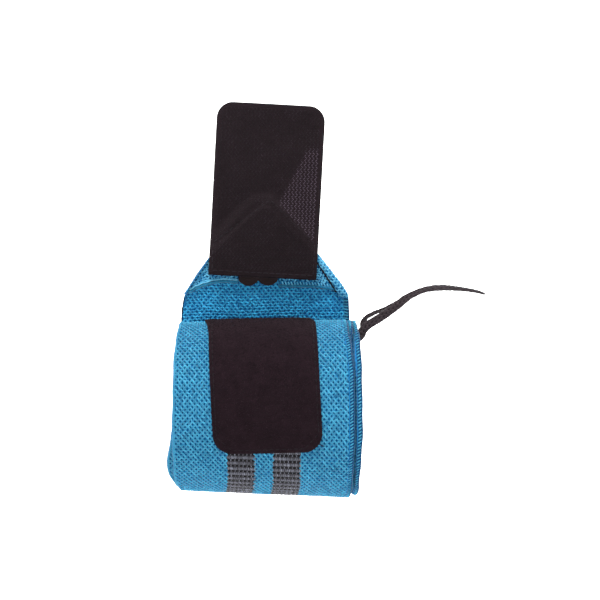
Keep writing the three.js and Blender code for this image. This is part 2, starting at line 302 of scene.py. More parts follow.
# The thumb loop's free run, as shares of loop_reach, loop_spread and loop_lift
loop_run = [
    {"reach": 0.032, "side": -0.34, "lift": 0.15, "roll": 60},
    {"reach": 0.072, "side": -0.36, "lift": 0.26, "roll": 68},
    {"reach": 0.143, "side": -0.4, "lift": 0.37, "roll": 66},
    {"reach": 0.22, "side": -0.44, "lift": 0.495, "roll": 64},
    {"reach": 0.296, "side": -0.48, "lift": 0.635, "roll": 56},
    {"reach": 0.381, "side": -0.48, "lift": 0.8, "roll": 44},
    {"reach": 0.513, "side": -0.5, "lift": 0.945, "roll": 32},
    {"reach": 0.63, "side": -0.48, "lift": 0.998, "roll": 22},
    {"reach": 0.746, "side": -0.44, "lift": 0.985, "roll": 16},
    {"reach": 0.861, "side": -0.32, "lift": 0.945, "roll": 15},
    {"reach": 0.939, "side": -0.16, "lift": 0.91, "roll": 18},
    {"reach": 0.972, "side": 0.0, "lift": 0.89, "roll": 22},
    {"reach": 0.948, "side": 0.18, "lift": 0.91, "roll": 20},
    {"reach": 0.88, "side": 0.34, "lift": 0.94, "roll": 18},
    {"reach": 0.75, "side": 0.48, "lift": 0.965, "roll": 18},
    {"reach": 0.565, "side": 0.52, "lift": 0.94, "roll": 20},
    {"reach": 0.38, "side": 0.5, "lift": 0.77, "roll": 22},
    {"reach": 0.222, "side": 0.44, "lift": 0.575, "roll": 20},
    {"reach": 0.125, "side": 0.38, "lift": 0.475, "roll": 28},
    {"reach": 0.068, "side": 0.34, "lift": 0.39, "roll": 30},
    {"reach": 0.034, "side": 0.31, "lift": 0.215, "roll": 32},
]

# The thumb loop's sewn ends: how far in from the band's edge and how high over their seat
tail_insets = [
    {"inset": loop_tuck, "rise": 0},
    {"inset": loop_tuck / 2, "rise": 0},
    {"inset": lip_run, "rise": 0},
    {"inset": 0, "rise": loop_rise},
]

# The folded corners by side: how far in from the fold their cloth and their yarns begin, and their rolled
# edge
folded_corners = {
    -1: {"cloth_in": 0.5, "net_in": 0.4, "net_up": 1.3, "edge_in": 2.2, "roll": fold_pinch},
    1: {"cloth_in": 3.3, "net_in": 4.0, "net_up": 2.4, "edge_in": 4.4, "roll": fold_roll},
}

# Unevenness of the wound cloth's face, and of its two edges
face_ripples = [
    {"height": 0.13, "waves": 3, "run": 11},
    {"height": 0.07, "waves": 7, "run": -7},
]
edge_ripples = [
    {"height": 0.12, "run": 5.3, "by_side": 1},
    {"height": 0.09, "run": 2.1, "by_side": 0},
]

# Ticks of the ladder edge on the band's outer and inner face: how much further in, their angle and their size
ladder_ticks = [
    {"height": skin_height, "sign": 1, "in": 0, "angle": -0.62, "spread": 0.08, "size": 1},
    {"height": -skin_height, "sign": -1, "in": 0.4, "angle": -0.1, "spread": 0.06, "size": 1.45},
]

# Cords along the band's edges: on which side, how high over its middle, how far in and how light
cord_rows = [
    {"side": -1, "height": skin_height, "in": 0.6, "shade": 0.5},
    {"side": 1, "height": 0, "in": 0.25, "shade": 0.8},
    {"side": -1, "height": 0, "in": 0.2, "shade": 0.45},
]

# Rows of yarn along the folded corners' lower edges: how far up from the edge, how close together and how
# light
corner_rows = [
    # On the left the lip row is painted light as the rolled lip's highlight, and the roll row under it is
    # painted dark as the shadow line below the lip
    {"piece": "corner_lips", "side": -1, "up": 1.6, "pitch": 0.7, "shade": 0.95},
    {"piece": "corner_rolls", "side": -1, "up": 0.6, "pitch": 0.7, "shade": 0.3},
    {"piece": "corner_rolls", "side": 1, "up": 0.1, "pitch": 0.8, "shade": 0.2},
]

# Corners of the seam that holds the tab to the folded point, across as shares of the seam's half width
tab_seam = [
    {"up": 2.0, "across": -1, "shift": 0},
    {"up": 2.0, "across": 1, "shift": 0},
    {"up": 15.5, "across": 1, "shift": 0},
    {"up": 33.5, "across": 0, "shift": ridge_middle},
    {"up": 14.0, "across": -1, "shift": 0},
    {"up": 2.0, "across": -1, "shift": 0},
]

# Corners of half the patch's seam: how far from its upper and lower end, and how far in from its side
patch_seam = [
    {"from_top": 8, "from_low": 8, "in": 1.5},
    {"from_top": 1.6, "from_low": 1.8, "in": 7.5},
]

# The sewing thread's loose end beside the patch: how far from where it leaves the seam
loose_thread = [
    {"along": 0, "across": 0},
    {"along": 0.4, "across": 2.2},
    {"along": 1.3, "across": 4.2},
]
loose_in = 3.4
loose_up = 3.6

# How close together stitches lie
tab_stitch_pitch = 2.6
patch_stitch_pitch = 2.4
loose_stitch_pitch = 1.1

# Rows of stitches that hold each end of the thumb loop: how far in from the edge, and how each row is laid
loop_stitch_insets = [4.0, 11.0]
loop_stitch_count = 11
loop_stitch_reach = 2.6
loop_stitch_slant = 0.35

# Yarns around each hole of a stripe, as shares of the hole pitch across and along: pairs that stand between
# two rows of holes, and a bar between two holes of one row
stripe_yarn_kinds = [
    {"across": -0.21, "along": 0.5, "angle": 82, "shade": 0.5, "size": 1.0},
    {"across": 0.23, "along": 0.5, "angle": 98, "shade": 0.42, "size": 1.0},
    {"across": 0.5, "along": 0.0, "angle": 90, "shade": 0.42, "size": 0.65},
    {"across": 0.5, "along": 0.52, "angle": 76, "shade": 0.34, "size": 1.0},
]

outer_net_size = {"length": 1.95, "width": 0.7, "height": 0.44, "varies": 0.08, "sides": 4, "seed": 11}

# The threads of each piece: their size, how far it varies, how many sides they have, and the seed
thread_sizes = {
    "outer_turn_net_front": outer_net_size,
    "outer_turn_net_back": outer_net_size,
    "inner_turns_net": {"length": 1.95, "width": 0.7, "height": 0.36, "varies": 0.08, "sides": 4, "seed": 12},
    "hollow_net": {"length": 1.75, "width": 0.78, "height": 0.5, "varies": 0.12, "sides": 3, "seed": 13},
    "free_end_net": {"length": 1.75, "width": 0.78, "height": 0.5, "varies": 0.12, "sides": 4, "seed": 13},
    "stripe_yarns": {"length": 1.65, "width": 0.54, "height": 0.42, "varies": 0.12, "sides": 4, "seed": 14},
    "ladder_edge": {"length": 2.0, "width": 0.62, "height": 0.6, "varies": 0.06, "sides": 4, "seed": 15},
    "edge_cords": {"length": 1.7, "width": 0.75, "height": 0.7, "varies": 0.04, "sides": 4, "seed": 16},
    "corner_net": {"length": 1.9, "width": 0.7, "height": 0.45, "varies": 0.08, "sides": 4, "seed": 17},
    "corner_lips": {"length": 2.1, "width": 0.7, "height": 1.2, "varies": 0.04, "sides": 4, "seed": 18},
    "corner_rolls": {"length": 2.2, "width": 1.5, "height": 0.9, "varies": 0.04, "sides": 4, "seed": 23},
    "corner_ticks": {"length": 2.0, "width": 0.66, "height": 0.7, "varies": 0.05, "sides": 4, "seed": 19},
    "bead_yarns": {"length": 1.75, "width": 0.84, "height": 0.6, "varies": 0.12, "sides": 4, "seed": 24},
    "fold_creases": {"length": 1.8, "width": 0.85, "height": 0.6, "varies": 0.2, "sides": 4, "seed": 20},
    "patch_pile": {"length": 0.75, "width": 0.2, "height": 0.2, "varies": 0.3, "sides": 3, "seed": 21},
    "tab_zigzag": {"length": 1.35, "width": 0.34, "height": 0.4, "varies": 0.08, "sides": 4, "seed": 25},
    "sewing_thread": {"length": 2.4, "width": 0.42, "height": 0.45, "varies": 0.06, "sides": 4, "seed": 31},
}

# Tones: the darkest and the lightest of each yarn, tape and ground
tones = {
    "blue ground": {"dark": (0.005, 0.095, 0.22, 1), "light": (0.013, 0.155, 0.33, 1)},
    "grey ground": {"dark": (0.012, 0.012, 0.015, 1), "light": (0.045, 0.043, 0.05, 1)},
    # Corner yarn: the band's blue yarn painted lighter, as painted light that the folded corners catch
    "lit corner yarn": {"dark": (0.008, 0.14, 0.3, 1), "light": (0.12, 0.44, 0.64, 1)},
    "outer yarn": {"dark": (0.0025, 0.085, 0.175, 1), "light": (0.046, 0.3, 0.46, 1)},
    "inner yarn": {"dark": (0.006, 0.165, 0.38, 1), "light": (0.05, 0.47, 0.78, 1)},
    "grey yarn": {"dark": (0.012, 0.011, 0.014, 1), "light": (0.17, 0.18, 0.225, 1)},
    "pile": {"dark": (0.0025, 0.0012, 0.0018, 1), "light": (0.0165, 0.0085, 0.012, 1)},
    "pile yarn": {"dark": (0.002, 0.001, 0.0015, 1), "light": (0.026, 0.0145, 0.02, 1)},
    "hook tape": {"dark": (0.004, 0.002, 0.0028, 1), "light": (0.0135, 0.0078, 0.0102, 1)},
    "tail tape": {"dark": (0.007, 0.005, 0.0055, 1), "light": (0.03, 0.019, 0.02, 1)},
    # The hook wire's light tone is reached only in the hooks' and zigzag's painted glint
    "hook wire": {"dark": (0.003, 0.0018, 0.0024, 1), "light": (0.07, 0.052, 0.07, 1)},
    "black thread": {"dark": (0.003, 0.003, 0.004, 1), "light": (0.02, 0.015, 0.02, 1)},
    "braid yarn": {"dark": (0.007, 0.005, 0.006, 1), "light": (0.034, 0.025, 0.029, 1)},
    "floor": {"dark": (0.86, 0.86, 0.87, 1), "light": (0.9, 0.9, 0.9, 1)},
}
hole_blue = (0.0005, 0.035, 0.09, 1)
inner_hole_blue = (0.002, 0.085, 0.23, 1)
stripe_hole_grey = (0.001, 0.001, 0.002, 1)
selvage_blue = (0.007, 0.13, 0.32, 1)
# Painted shade: the dark blue ground in the grooves under the ladder edge
groove_shade_blue = (0.001, 0.035, 0.1, 1)

# Soft lights, in metres and watts
lights = [
    {"name": "key light", "place": (-0.15, -0.36, 1.05), "target": (0, 0, 0.02), "size": 0.5, "power": 28.0},
    {"name": "fill light", "place": (0.4, -0.85, -0.1), "target": (0, 0, 0), "size": 0.6, "power": 4.5},
    {"name": "back light", "place": (0.1, 0.5, 0.7), "target": (0, 0, 0.03), "size": 0.6, "power": 5.0},
]
floor_height = -0.12
backdrop_back = 0.9
backdrop_bend = 0.5
backdrop_reach = 2.5
floor_glow = 0.35
world_glow = 0.3
seen_glow = 1.0

# Camera: where the photo was taken from, and how wide its view is at the wrist
view_distance = 750
view_width = 255.1
view_across = 14.94
view_height = 45.7
sensor_width = 36


# Small tools for shapes


def ease(share):
    t = np.clip(share, 0, 1)
    return t * t * (3 - 2 * t)


def look_up(table, key, column, place):
    """Smooth value of one column of a table at a place along its key column."""
    keys = np.array([row[key] for row in table])
    values = np.array([row[column] for row in table])
    i = np.clip(np.searchsorted(keys, place) - 1, 0, len(keys) - 2)
    return values[i] + (values[i + 1] - values[i]) * ease((place - keys[i]) / (keys[i + 1] - keys[i]))


def unit(vectors):
    return vectors / np.maximum(np.linalg.norm(vectors, axis=-1, keepdims=True), 1e-9)


# The winding


def oval_at(turn):
    """Points of the hollow's oval and their outward normals, in the YZ plane."""
    angle = turn * 2 * math.pi
    s = np.sin(angle)
    c = np.cos(angle)
    y = -wrist_depth / 2 * np.sign(s) * np.abs(s) ** (2 / oval_power)
    z = wrist_height / 2 * np.sign(c) * np.abs(c) ** (2 / oval_power)
    normal = np.stack([
        np.sign(y) * np.abs(y) ** (oval_power - 1) / (wrist_depth / 2) ** oval_power,
        np.sign(z) * np.abs(z) ** (oval_power - 1) / (wrist_height / 2) ** oval_power,
    ], axis=-1)
    return y, z, unit(normal)


def make_path():
    """The band's middle line: turn, y, z, normal y, normal z and length along it, one row a point."""
    steps_per_turn = 208
    turns = np.arange(start_turn, leave_turn, 1 / steps_per_turn)
    turns = np.append(turns, leave_turn)
    y, z, normal = oval_at(turns)
    out = band_thickness / 2 + turn_pitch * (turns - start_turn)
    wound = np.stack(
        [turns, y + normal[:, 0] * out, z + normal[:, 1] * out, normal[:, 0], normal[:, 1]], axis=-1
    )
    leave_lean = math.atan2(normal[-1, 1], normal[-1, 0])
    free = []
    y, z = wound[-1, 1], wound[-1, 2]
    for run in range(1, int(free_length + tab_rise + tab_length + tab_width)):
        lean = leave_lean + (free_lean * DEGREE - leave_lean) * float(ease((run - 0.5) / lean_run))
        y -= math.sin(lean)
        z += math.cos(lean)
        free.append([leave_turn + run / (math.pi * wrist_height), y, z, math.cos(lean), math.sin(lean)])
    points = np.concatenate([wound, free])
    steps = np.hypot(np.diff(points[:, 1]), np.diff(points[:, 2]))
    along = np.concatenate([[0], np.cumsum(steps)])
    return np.column_stack([points, along])


path = make_path()
leave_along = float(np.interp(leave_turn, path[:, 0], path[:, 5]))
fold_along = leave_along + free_length


def turn_at(along):
    return np.interp(along, path[:, 5], path[:, 0])


def along_at(turn):
    return np.interp(turn, path[:, 0], path[:, 5])


def edge_at_turn(turn, side):
    middle = look_up(band_edges, "turn", "shift", turn) * band_width
    half = look_up(band_edges, "turn", "width", turn) * band_width / 2
    return middle + side * half


def held_to(turn):
    """How far across the turns over a place of the band reach, at its hand side."""
    one_up = edge_at_turn(turn + 1, 1)
    return np.where(turn + 2 > leave_turn, one_up, np.maximum(one_up, edge_at_turn(turn + 2, 1)))


def lip_at(turn, across):
    """How far an inner turn's edge springs up beyond the turns that hold it, less its droop at the start."""
    edge = edge_at_turn(turn, 1)
    held = held_to(turn)
    near_top = ease(1 - np.abs(turn - np.round(turn)) / top_corner_turn)
    near_start = ease(1 - np.abs(turn) / top_corner_turn)
    gap = lip_gap + (top_lip_gap - lip_gap) * near_top
    start = np.minimum(edge - lip_rise_run / 2, held + gap)
    levels = np.maximum(0, 2 - turn)
    room = ease((edge - held) / (lip_gap + lip_rise_run / 2))
    droop = top_corner_drop * near_start * ease((across - edge + top_corner_run) / top_corner_run)
    return lip_share * turn_pitch * levels * room * ease((across - start) / lip_rise_run) - droop


def ripple(turn, across):
    """Slight unevenness of the wound cloth, the same for every layer at one place round the wrist."""
    angle = turn * 2 * math.pi
    return sum(row["height"] * np.sin(row["waves"] * angle + across / row["run"]) for row in face_ripples)


def winding_point(along, across, height):
    """Points in millimetres at a length along the middle line, a place across and a height above it."""
    along, across, height = np.broadcast_arrays(along, across, height)
    turn, y, z, normal_y, normal_z = (np.interp(along, path[:, 5], path[:, i]) for i in range(5))
    size = np.hypot(normal_y, normal_z)
    height = height + ripple(turn, across) * ease((along - ripple_start) / ripple_fade)
    y = y + normal_y / size * height
    z = z + normal_z / size * height
    share = np.maximum(0, taper_start - across / band_width) / (taper_start + 0.5)
    low = ease(0.5 - z / wrist_height)
    fade = 1 - ease((z - wrist_height / 2) / (wrist_height / 2))
    scale = 1 - (top_taper + (bottom_taper - top_taper) * low) * share * fade
    return np.stack([across, y * scale, z * scale], axis=-1)


def sheet_point(along, across, height):
    """The same on the band itself, with its edge sprung up."""
    return winding_point(along, across, height + lip_at(turn_at(along), across))


# The folded point of the free end

fold_half_width = float(edge_at_turn(turn_at(fold_along), 1) - edge_at_turn(turn_at(fold_along), -1)) / 2
fold_middle = float(edge_at_turn(turn_at(fold_along), 1) + edge_at_turn(turn_at(fold_along), -1)) / 2
shoulder_half = fold_half_width - shoulder_rise * math.tan(fold_angle * DEGREE)
point_length = shoulder_rise + (shoulder_half - point_end / 2) / math.tan(point_angle * DEGREE)
band_end = fold_along + point_length


def point_middle(along):
    return fold_middle + point_shift * (along - fold_along) / point_length


def fold_start(along):
    """How far past the start of the folds a place is, with a soft start."""
    up = along - fold_along
    return (up + np.sqrt(up * up + fold_round * fold_round)) / 2


def point_half(along):
    up = fold_start(along)
    low = np.minimum(up, shoulder_rise) * math.tan(fold_angle * DEGREE)
    high = np.maximum(0, up - shoulder_rise) * math.tan(point_angle * DEGREE)
    return fold_half_width - low - high


def weave_middle(along):
    return look_up(weave_middles, "turn", "middle", turn_at(along)) * band_width


def point_top(half):
    """The length along the band at which the folded point is that much wide, from its middle."""
    low = (fold_half_width - half) / math.tan(fold_angle * DEGREE)
    high = shoulder_rise + (shoulder_half - half) / math.tan(point_angle * DEGREE)
    return fold_along + np.where(half > shoulder_half, low, high)


def corner_low(inward, side):
    """The length along the band at which a folded corner's lower edge lies, that far in from the fold."""
    column = "left" if side < 0 else "right"
    return fold_along + look_up(corner_edges, "inward", column, inward / band_width) * band_width


def sheet_edge(along, side):
    """The band's edge on the winding, the free end and the folded point, a little uneven."""
    wound = edge_at_turn(turn_at(along), side) - side * math.tan(fold_angle * DEGREE) * fold_start(along)
    pointed = point_middle(along) + side * point_half(along)
    waver = sum(row["height"] * np.sin(along / row["run"] + row["by_side"] * side) for row in edge_ripples)
    return np.where(along > fold_along, pointed, wound) + waver


# Meshes


def new_object(name, points, faces, smooth=True):
    """A mesh object from points in millimetres."""
    mesh = bpy.data.meshes.new(name)
    mesh.from_pydata((np.asarray(points) * MM).tolist(), [], faces)
    mesh.update()
    mesh.polygons.foreach_set("use_smooth", [smooth] * len(mesh.polygons))
    piece = bpy.data.objects.new(name, mesh)
    bpy.context.scene.collection.objects.link(piece)
    return piece


def set_values(mesh, name, values, kind="FLOAT"):
    """An attribute of a mesh's points, from one value a point or one for all."""
    attribute = mesh.attributes.new(name, kind, "POINT")
    if kind == "FLOAT":
        values = np.broadcast_to(values, len(mesh.vertices))
    field = "vector" if kind == "FLOAT_VECTOR" else "value"
    attribute.data.foreach_set(field, np.asarray(values, np.float32).ravel())


def set_uv(mesh, points_uv):
    """A UV map in metres of cloth from one pair a point: across and along."""
    layer = mesh.uv_layers.new(name="cloth")
    corner_points = np.zeros(len(mesh.loops), np.int32)
    mesh.loops.foreach_get("vertex_index", corner_points)
    layer.data.foreach_set("uv", (np.asarray(points_uv)[corner_points] * MM).astype(np.float32).ravel())


def edge_steps(length, radius, step):
    """Places along one side of a piece of cloth: close together where its edge is rounded."""
    curve = radius * (1 - np.cos(np.array([0, 25, 50, 72]) * DEGREE))
    count = max(1, math.ceil((length - 2 * radius) / step))
    middle = np.linspace(radius, length - radius, count + 1)
    return np.concatenate([curve, middle, length - curve[::-1]])


def edge_height(places, length, radius):
    """Share of the full thickness at those places: nothing at the very edge, all of it inside."""
    inside = np.minimum(np.minimum(places, length - places) / radius, 1)
    return np.sqrt(np.maximum(0, 1 - (1 - inside) ** 2))


def sheet_bulge(rows, columns):
    """The same over a grid, where rows and columns each give their places, length and radius."""
    return np.minimum(edge_height(*rows)[:, None], edge_height(*columns)[None, :])


def tube_faces(stations, sides):
    """Faces of a closed tube whose points go round each station in turn."""
    index = np.arange(stations * sides).reshape(stations, sides)
    turned = np.roll(index, -1, axis=1)
    corners = index[:-1], turned[:-1], turned[1:], index[1:]
    walls = np.stack([c.ravel() for c in corners], axis=-1).tolist()
    return [*walls, index[0][::-1].tolist(), index[-1].tolist()]


def cloth_piece(name, surface, along, across, thickness_share, thickness, cloth_uv):
    """A closed piece of cloth over a grid of places. surface(along, across, height) gives its points, and the
    outer and inner faces meet at the grid's border, where thickness_share is nothing."""
    rows, columns = along.shape
    outer = surface(along, across, thickness_share * thickness / 2).reshape(-1, 3)
    inner = surface(along, across, -thickness_share * thickness / 2).reshape(-1, 3)
    index = np.arange(rows * columns).reshape(rows, columns)
    border = np.zeros((rows, columns), bool)
    border[[0, -1], :] = True
    border[:, [0, -1]] = True
    under = index.copy()
    under[~border] = rows * columns + np.arange((~border).sum())
    points = np.concatenate([outer, inner[~border.ravel()]])
    uv_grid = np.broadcast_to(cloth_uv, (rows, columns, 2)).reshape(-1, 2)
    uv = np.concatenate([uv_grid, uv_grid[~border.ravel()]])
    side = np.concatenate([np.where(border.ravel(), 0.5, 1.0), np.zeros((~border).sum())])

    def quads(grid):
        corners = grid[:-1, :-1], grid[:-1, 1:], grid[1:, 1:], grid[1:, :-1]
        return np.stack([c.ravel() for c in corners], axis=-1)

    top = quads(index)
    bottom = quads(under)[:, ::-1]
    a, b, c = (points[top[:, i]] for i in (0, 1, 3))
    looks_in = np.sum(np.cross(b - a, c - a) * (points[top[:, 0]] - inner[top[:, 0]])) < 0
    faces = np.concatenate([top, bottom])
    if looks_in:
        faces = faces[:, ::-1]
    piece = new_object(name, points, faces.tolist())
    set_uv(piece.data, uv)
    set_values(piece.data, "outer_face", side)
    return piece


def join(name, pieces):
    """Several meshes joined into one piece."""
    with bpy.context.temp_override(active_object=pieces[0], selected_editable_objects=pieces):
        bpy.ops.object.join()
    pieces[0].name = name
    pieces[0].data.name = name
    return pieces[0]


# Repeats: small threads and hooks grown on points by Geometry Nodes


def tree_with(name, inputs):
    tree = bpy.data.node_groups.new(name, "GeometryNodeTree")
    for label, kind, value in inputs:
        socket = tree.interface.new_socket(label, in_out="INPUT", socket_type=kind)
        if value is not None:
            socket.default_value = value
    tree.interface.new_socket("Geometry", in_out="OUTPUT", socket_type="NodeSocketGeometry")
    return tree


def feed(tree, socket, value):
    """Gives a socket its value, or links another node's output to it."""
    if isinstance(value, bpy.types.NodeSocket):
        tree.links.new(value, socket)
    else:
        socket.default_value = value


def add_node(tree, kind, inputs=None, **settings):
    """A node with its settings, whose inputs are values or other nodes' outputs."""
    node = tree.nodes.new(kind)
    for key, value in settings.items():
        setattr(node, key, value)
    for key, value in (inputs or {}).items():
        feed(tree, node.inputs[key], value)
    return node


def grow_on_points(tree, shape, stretch, entry):
    """The shared end of each tree: the shape on every point, turned to its aim and face, realized."""
    aim = add_node(tree, "GeometryNodeInputNamedAttribute", {"Name": "aim"}, data_type="FLOAT_VECTOR")
    face = add_node(tree, "GeometryNodeInputNamedAttribute", {"Name": "face"}, data_type="FLOAT_VECTOR")
    size = add_node(tree, "GeometryNodeInputNamedAttribute", {"Name": "size"}, data_type="FLOAT")
    first = add_node(tree, "FunctionNodeAlignRotationToVector", {"Vector": aim.outputs["Attribute"]}, axis="Z")
    second = add_node(
        tree,
        "FunctionNodeAlignRotationToVector",
        {"Rotation": first.outputs["Rotation"], "Vector": face.outputs["Attribute"]},
        axis="X",
        pivot_axis="Z",
    )
    low = add_node(tree, "ShaderNodeMath", {0: 1.0, 1: entry.outputs["Variation"]}, operation="SUBTRACT")
    high = add_node(tree, "ShaderNodeMath", {0: 1.0, 1: entry.outputs["Variation"]}, operation="ADD")
    chance = add_node(
        tree,
        "FunctionNodeRandomValue",
        {"Min": low.outputs[0], "Max": high.outputs[0], "Seed": entry.outputs["Seed"]},
        data_type="FLOAT",
    )
    random_value = [o for o in chance.outputs if o.enabled][0]
    grade = add_node(
        tree, "ShaderNodeMath", {0: size.outputs["Attribute"], 1: random_value}, operation="MULTIPLY"
    )
    scale = add_node(tree, "ShaderNodeVectorMath", {0: stretch, "Scale": grade.outputs[0]}, operation="SCALE")
    placed = add_node(
        tree,
        "GeometryNodeInstanceOnPoints",
        {
            "Points": entry.outputs["Geometry"],
            "Instance": shape,
            "Rotation": second.outputs["Rotation"],
            "Scale": scale.outputs["Vector"],
        },
    )
    real = add_node(tree, "GeometryNodeRealizeInstances", {"Geometry": placed.outputs["Instances"]})
    smooth = add_node(tree, "GeometryNodeSetShadeSmooth", {"Geometry": real.outputs["Geometry"]})
    finish = add_node(
        tree,
        "GeometryNodeSetMaterial",
        {"Geometry": smooth.outputs["Geometry"], "Material": entry.outputs["Material"]},
    )
    end = tree.nodes.new("NodeGroupOutput")
    tree.links.new(finish.outputs["Geometry"], end.inputs["Geometry"])


def make_thread_tree():
    """Lays one tapered thread on each point, along its aim and flat against its face."""
    tree = tree_with("Threads on points", [
        ("Geometry", "NodeSocketGeometry", None),
        ("Length", "NodeSocketFloat", 0.001),
        ("Width", "NodeSocketFloat", 0.001),
        ("Height", "NodeSocketFloat", 0.001),
        ("Sides", "NodeSocketInt", 4),
        ("Variation", "NodeSocketFloat", 0.1),
        ("Seed", "NodeSocketInt", 1),
        ("Material", "NodeSocketMaterial", None),
    ])
    entry = tree.nodes.new("NodeGroupInput")
    shape = add_node(
        tree, "GeometryNodeMeshUVSphere", {"Segments": entry.outputs["Sides"], "Rings": 3, "Radius": 0.5}
    )
    stretch = add_node(
        tree,
        "ShaderNodeCombineXYZ",
        {"X": entry.outputs["Height"], "Y": entry.outputs["Width"], "Z": entry.outputs["Length"]},
    )
    grow_on_points(tree, shape.outputs["Mesh"], stretch.outputs["Vector"], entry)
    return tree


def make_hook_tree():
    """Stands one bent hook on each point, bent in the plane of its aim and its face."""
    tree = tree_with("Hooks on points", [
        ("Geometry", "NodeSocketGeometry", None),
        ("Reach", "NodeSocketFloat", 0.001),
        ("Rise", "NodeSocketFloat", 0.001),
        ("Wire", "NodeSocketFloat", 0.15),
        ("Variation", "NodeSocketFloat", 0.1),
        ("Seed", "NodeSocketInt", 1),
        ("Material", "NodeSocketMaterial", None),
    ])
    entry = tree.nodes.new("NodeGroupInput")
    arc = add_node(
        tree,
        "GeometryNodeCurveArc",
        {"Resolution": hook_points, "Radius": 0.5, "Start Angle": hook_start, "Sweep Angle": hook_sweep},
        mode="RADIUS",
    )
    wire = add_node(
        tree,
        "GeometryNodeCurvePrimitiveCircle",
        {"Resolution": hook_wire_sides, "Radius": entry.outputs["Wire"]},
        mode="RADIUS",
    )
    hook = add_node(
        tree,
        "GeometryNodeCurveToMesh",
        {"Curve": arc.outputs["Curve"], "Profile Curve": wire.outputs["Curve"], "Fill Caps": True},
    )
    stood = add_node(
        tree,
        "GeometryNodeTransform",
        {"Geometry": hook.outputs["Mesh"], "Rotation": (0.0, math.pi / 2, math.pi / 2)},
    )
    stretch = add_node(
        tree,
        "ShaderNodeCombineXYZ",
        {"X": entry.outputs["Rise"], "Y": entry.outputs["Reach"], "Z": entry.outputs["Reach"]},
    )
    grow_on_points(tree, stood.outputs["Geometry"], stretch.outputs["Vector"], entry)
    return tree


def grow(name, tree, places, material, sizes):
    """A tree grown on places and made a plain mesh. sizes are the tree's own inputs."""
    piece = new_object(name, places["points"], [])
    for key in ("aim", "face"):
        set_values(piece.data, key, places[key], "FLOAT_VECTOR")
    for key in ("size", "shade"):
        set_values(piece.data, key, places[key])
    modifier = piece.modifiers.new("grow", "NODES")
    modifier.node_group = tree
    values = {"Material": material, **sizes}
    for item in tree.interface.items_tree:
        if item.in_out == "INPUT" and item.name in values:
            modifier[item.identifier] = values[item.name]
    shown = piece.evaluated_get(bpy.context.evaluated_depsgraph_get())
    grown = bpy.data.meshes.new_from_object(shown)
    piece.modifiers.clear()
    piece.data = grown
    grown.name = name
    return piece


def grow_threads(name, places, material):
    """Threads on places, as their row of thread_sizes has them."""
    row = thread_sizes[name]
    sizes = {key: row[key.lower()] * MM for key in ("Length", "Width", "Height")}
    sizes.update(Sides=row["sides"], Variation=row["varies"], Seed=row["seed"])
    return grow(name, thread_tree, places, material, sizes)


def gather(parts):
    """Several sets of places as one."""
    return {key: np.concatenate([part[key] for part in parts]) for key in parts[0]}


# Materials


def math_node(tree, operation, a, b=0.0):
    return add_node(tree, "ShaderNodeMath", {0: a, 1: b}, operation=operation).outputs[0]


def mix_colour(tree, share, low, high):
    node = add_node(tree, "ShaderNodeMix", data_type="RGBA")
    for socket, value in zip([s for s in node.inputs if s.enabled], (share, low, high)):
        feed(tree, socket, value)
    return [s for s in node.outputs if s.enabled][0]


def mix_tones(tree, share, name):
    return mix_colour(tree, share, tones[name]["dark"], tones[name]["light"])


def group_node(tree, group, inputs):
    return add_node(tree, "ShaderNodeGroup", inputs, node_tree=group)


def shader_group(name, inputs, outputs):
    group = bpy.data.node_groups.new(name, "ShaderNodeTree")
    for label, kind, value in inputs:
        socket = group.interface.new_socket(label, in_out="INPUT", socket_type=kind)
        socket.default_value = value
    for label, kind in outputs:
        group.interface.new_socket(label, in_out="OUTPUT", socket_type=kind)
    return group, group.nodes.new("NodeGroupInput"), group.nodes.new("NodeGroupOutput")


def cell_distance(tree, u, v, shift, diamond):
    """How far a place is from the middle of its cell: 0 there and 1 at the cell's border."""
    parts = []
    for value in (u, v):
        moved = math_node(tree, "ADD", value, shift)
        share = math_node(tree, "FRACT", moved)
        centred = math_node(tree, "SUBTRACT", share, 0.5)
        parts.append(math_node(tree, "MULTIPLY", math_node(tree, "ABSOLUTE", centred), 2.0))
    return math_node(tree, "ADD" if diamond else "MAXIMUM", parts[0], parts[1])


def cell_reach(tree, value, pitch, hole_share):
    """How far a place is from the middle of its cell along one way, where 1 is the rim of the cell's hole."""
    share = math_node(tree, "FRACT", math_node(tree, "DIVIDE", value, pitch))
    centred = math_node(tree, "ABSOLUTE", math_node(tree, "SUBTRACT", share, 0.5))
    return math_node(tree, "DIVIDE", centred, hole_share / 2)


def make_net_group():
    """Staggered or plain net of yarn: 0 in the middle of a hole, 1 half a cell away from it."""
    group, entry, end = shader_group(
        "Yarn net",
        [
            ("Cloth", "NodeSocketVector", (0, 0, 0)),
            ("Across", "NodeSocketFloat", 1),
            ("Along", "NodeSocketFloat", 1),
        ],
        [("Staggered", "NodeSocketFloat"), ("Plain", "NodeSocketFloat")],
    )
    split = add_node(group, "ShaderNodeSeparateXYZ", {"Vector": entry.outputs["Cloth"]})
    u = math_node(group, "DIVIDE", split.outputs["X"], entry.outputs["Across"])
    v = math_node(group, "DIVIDE", split.outputs["Y"], entry.outputs["Along"])
    near = cell_distance(group, u, v, 0.0, True)
    far = cell_distance(group, u, v, 0.5, True)
    group.links.new(math_node(group, "MINIMUM", near, far), end.inputs["Staggered"])
    group.links.new(cell_distance(group, u, v, 0.0, False), end.inputs["Plain"])
    return group


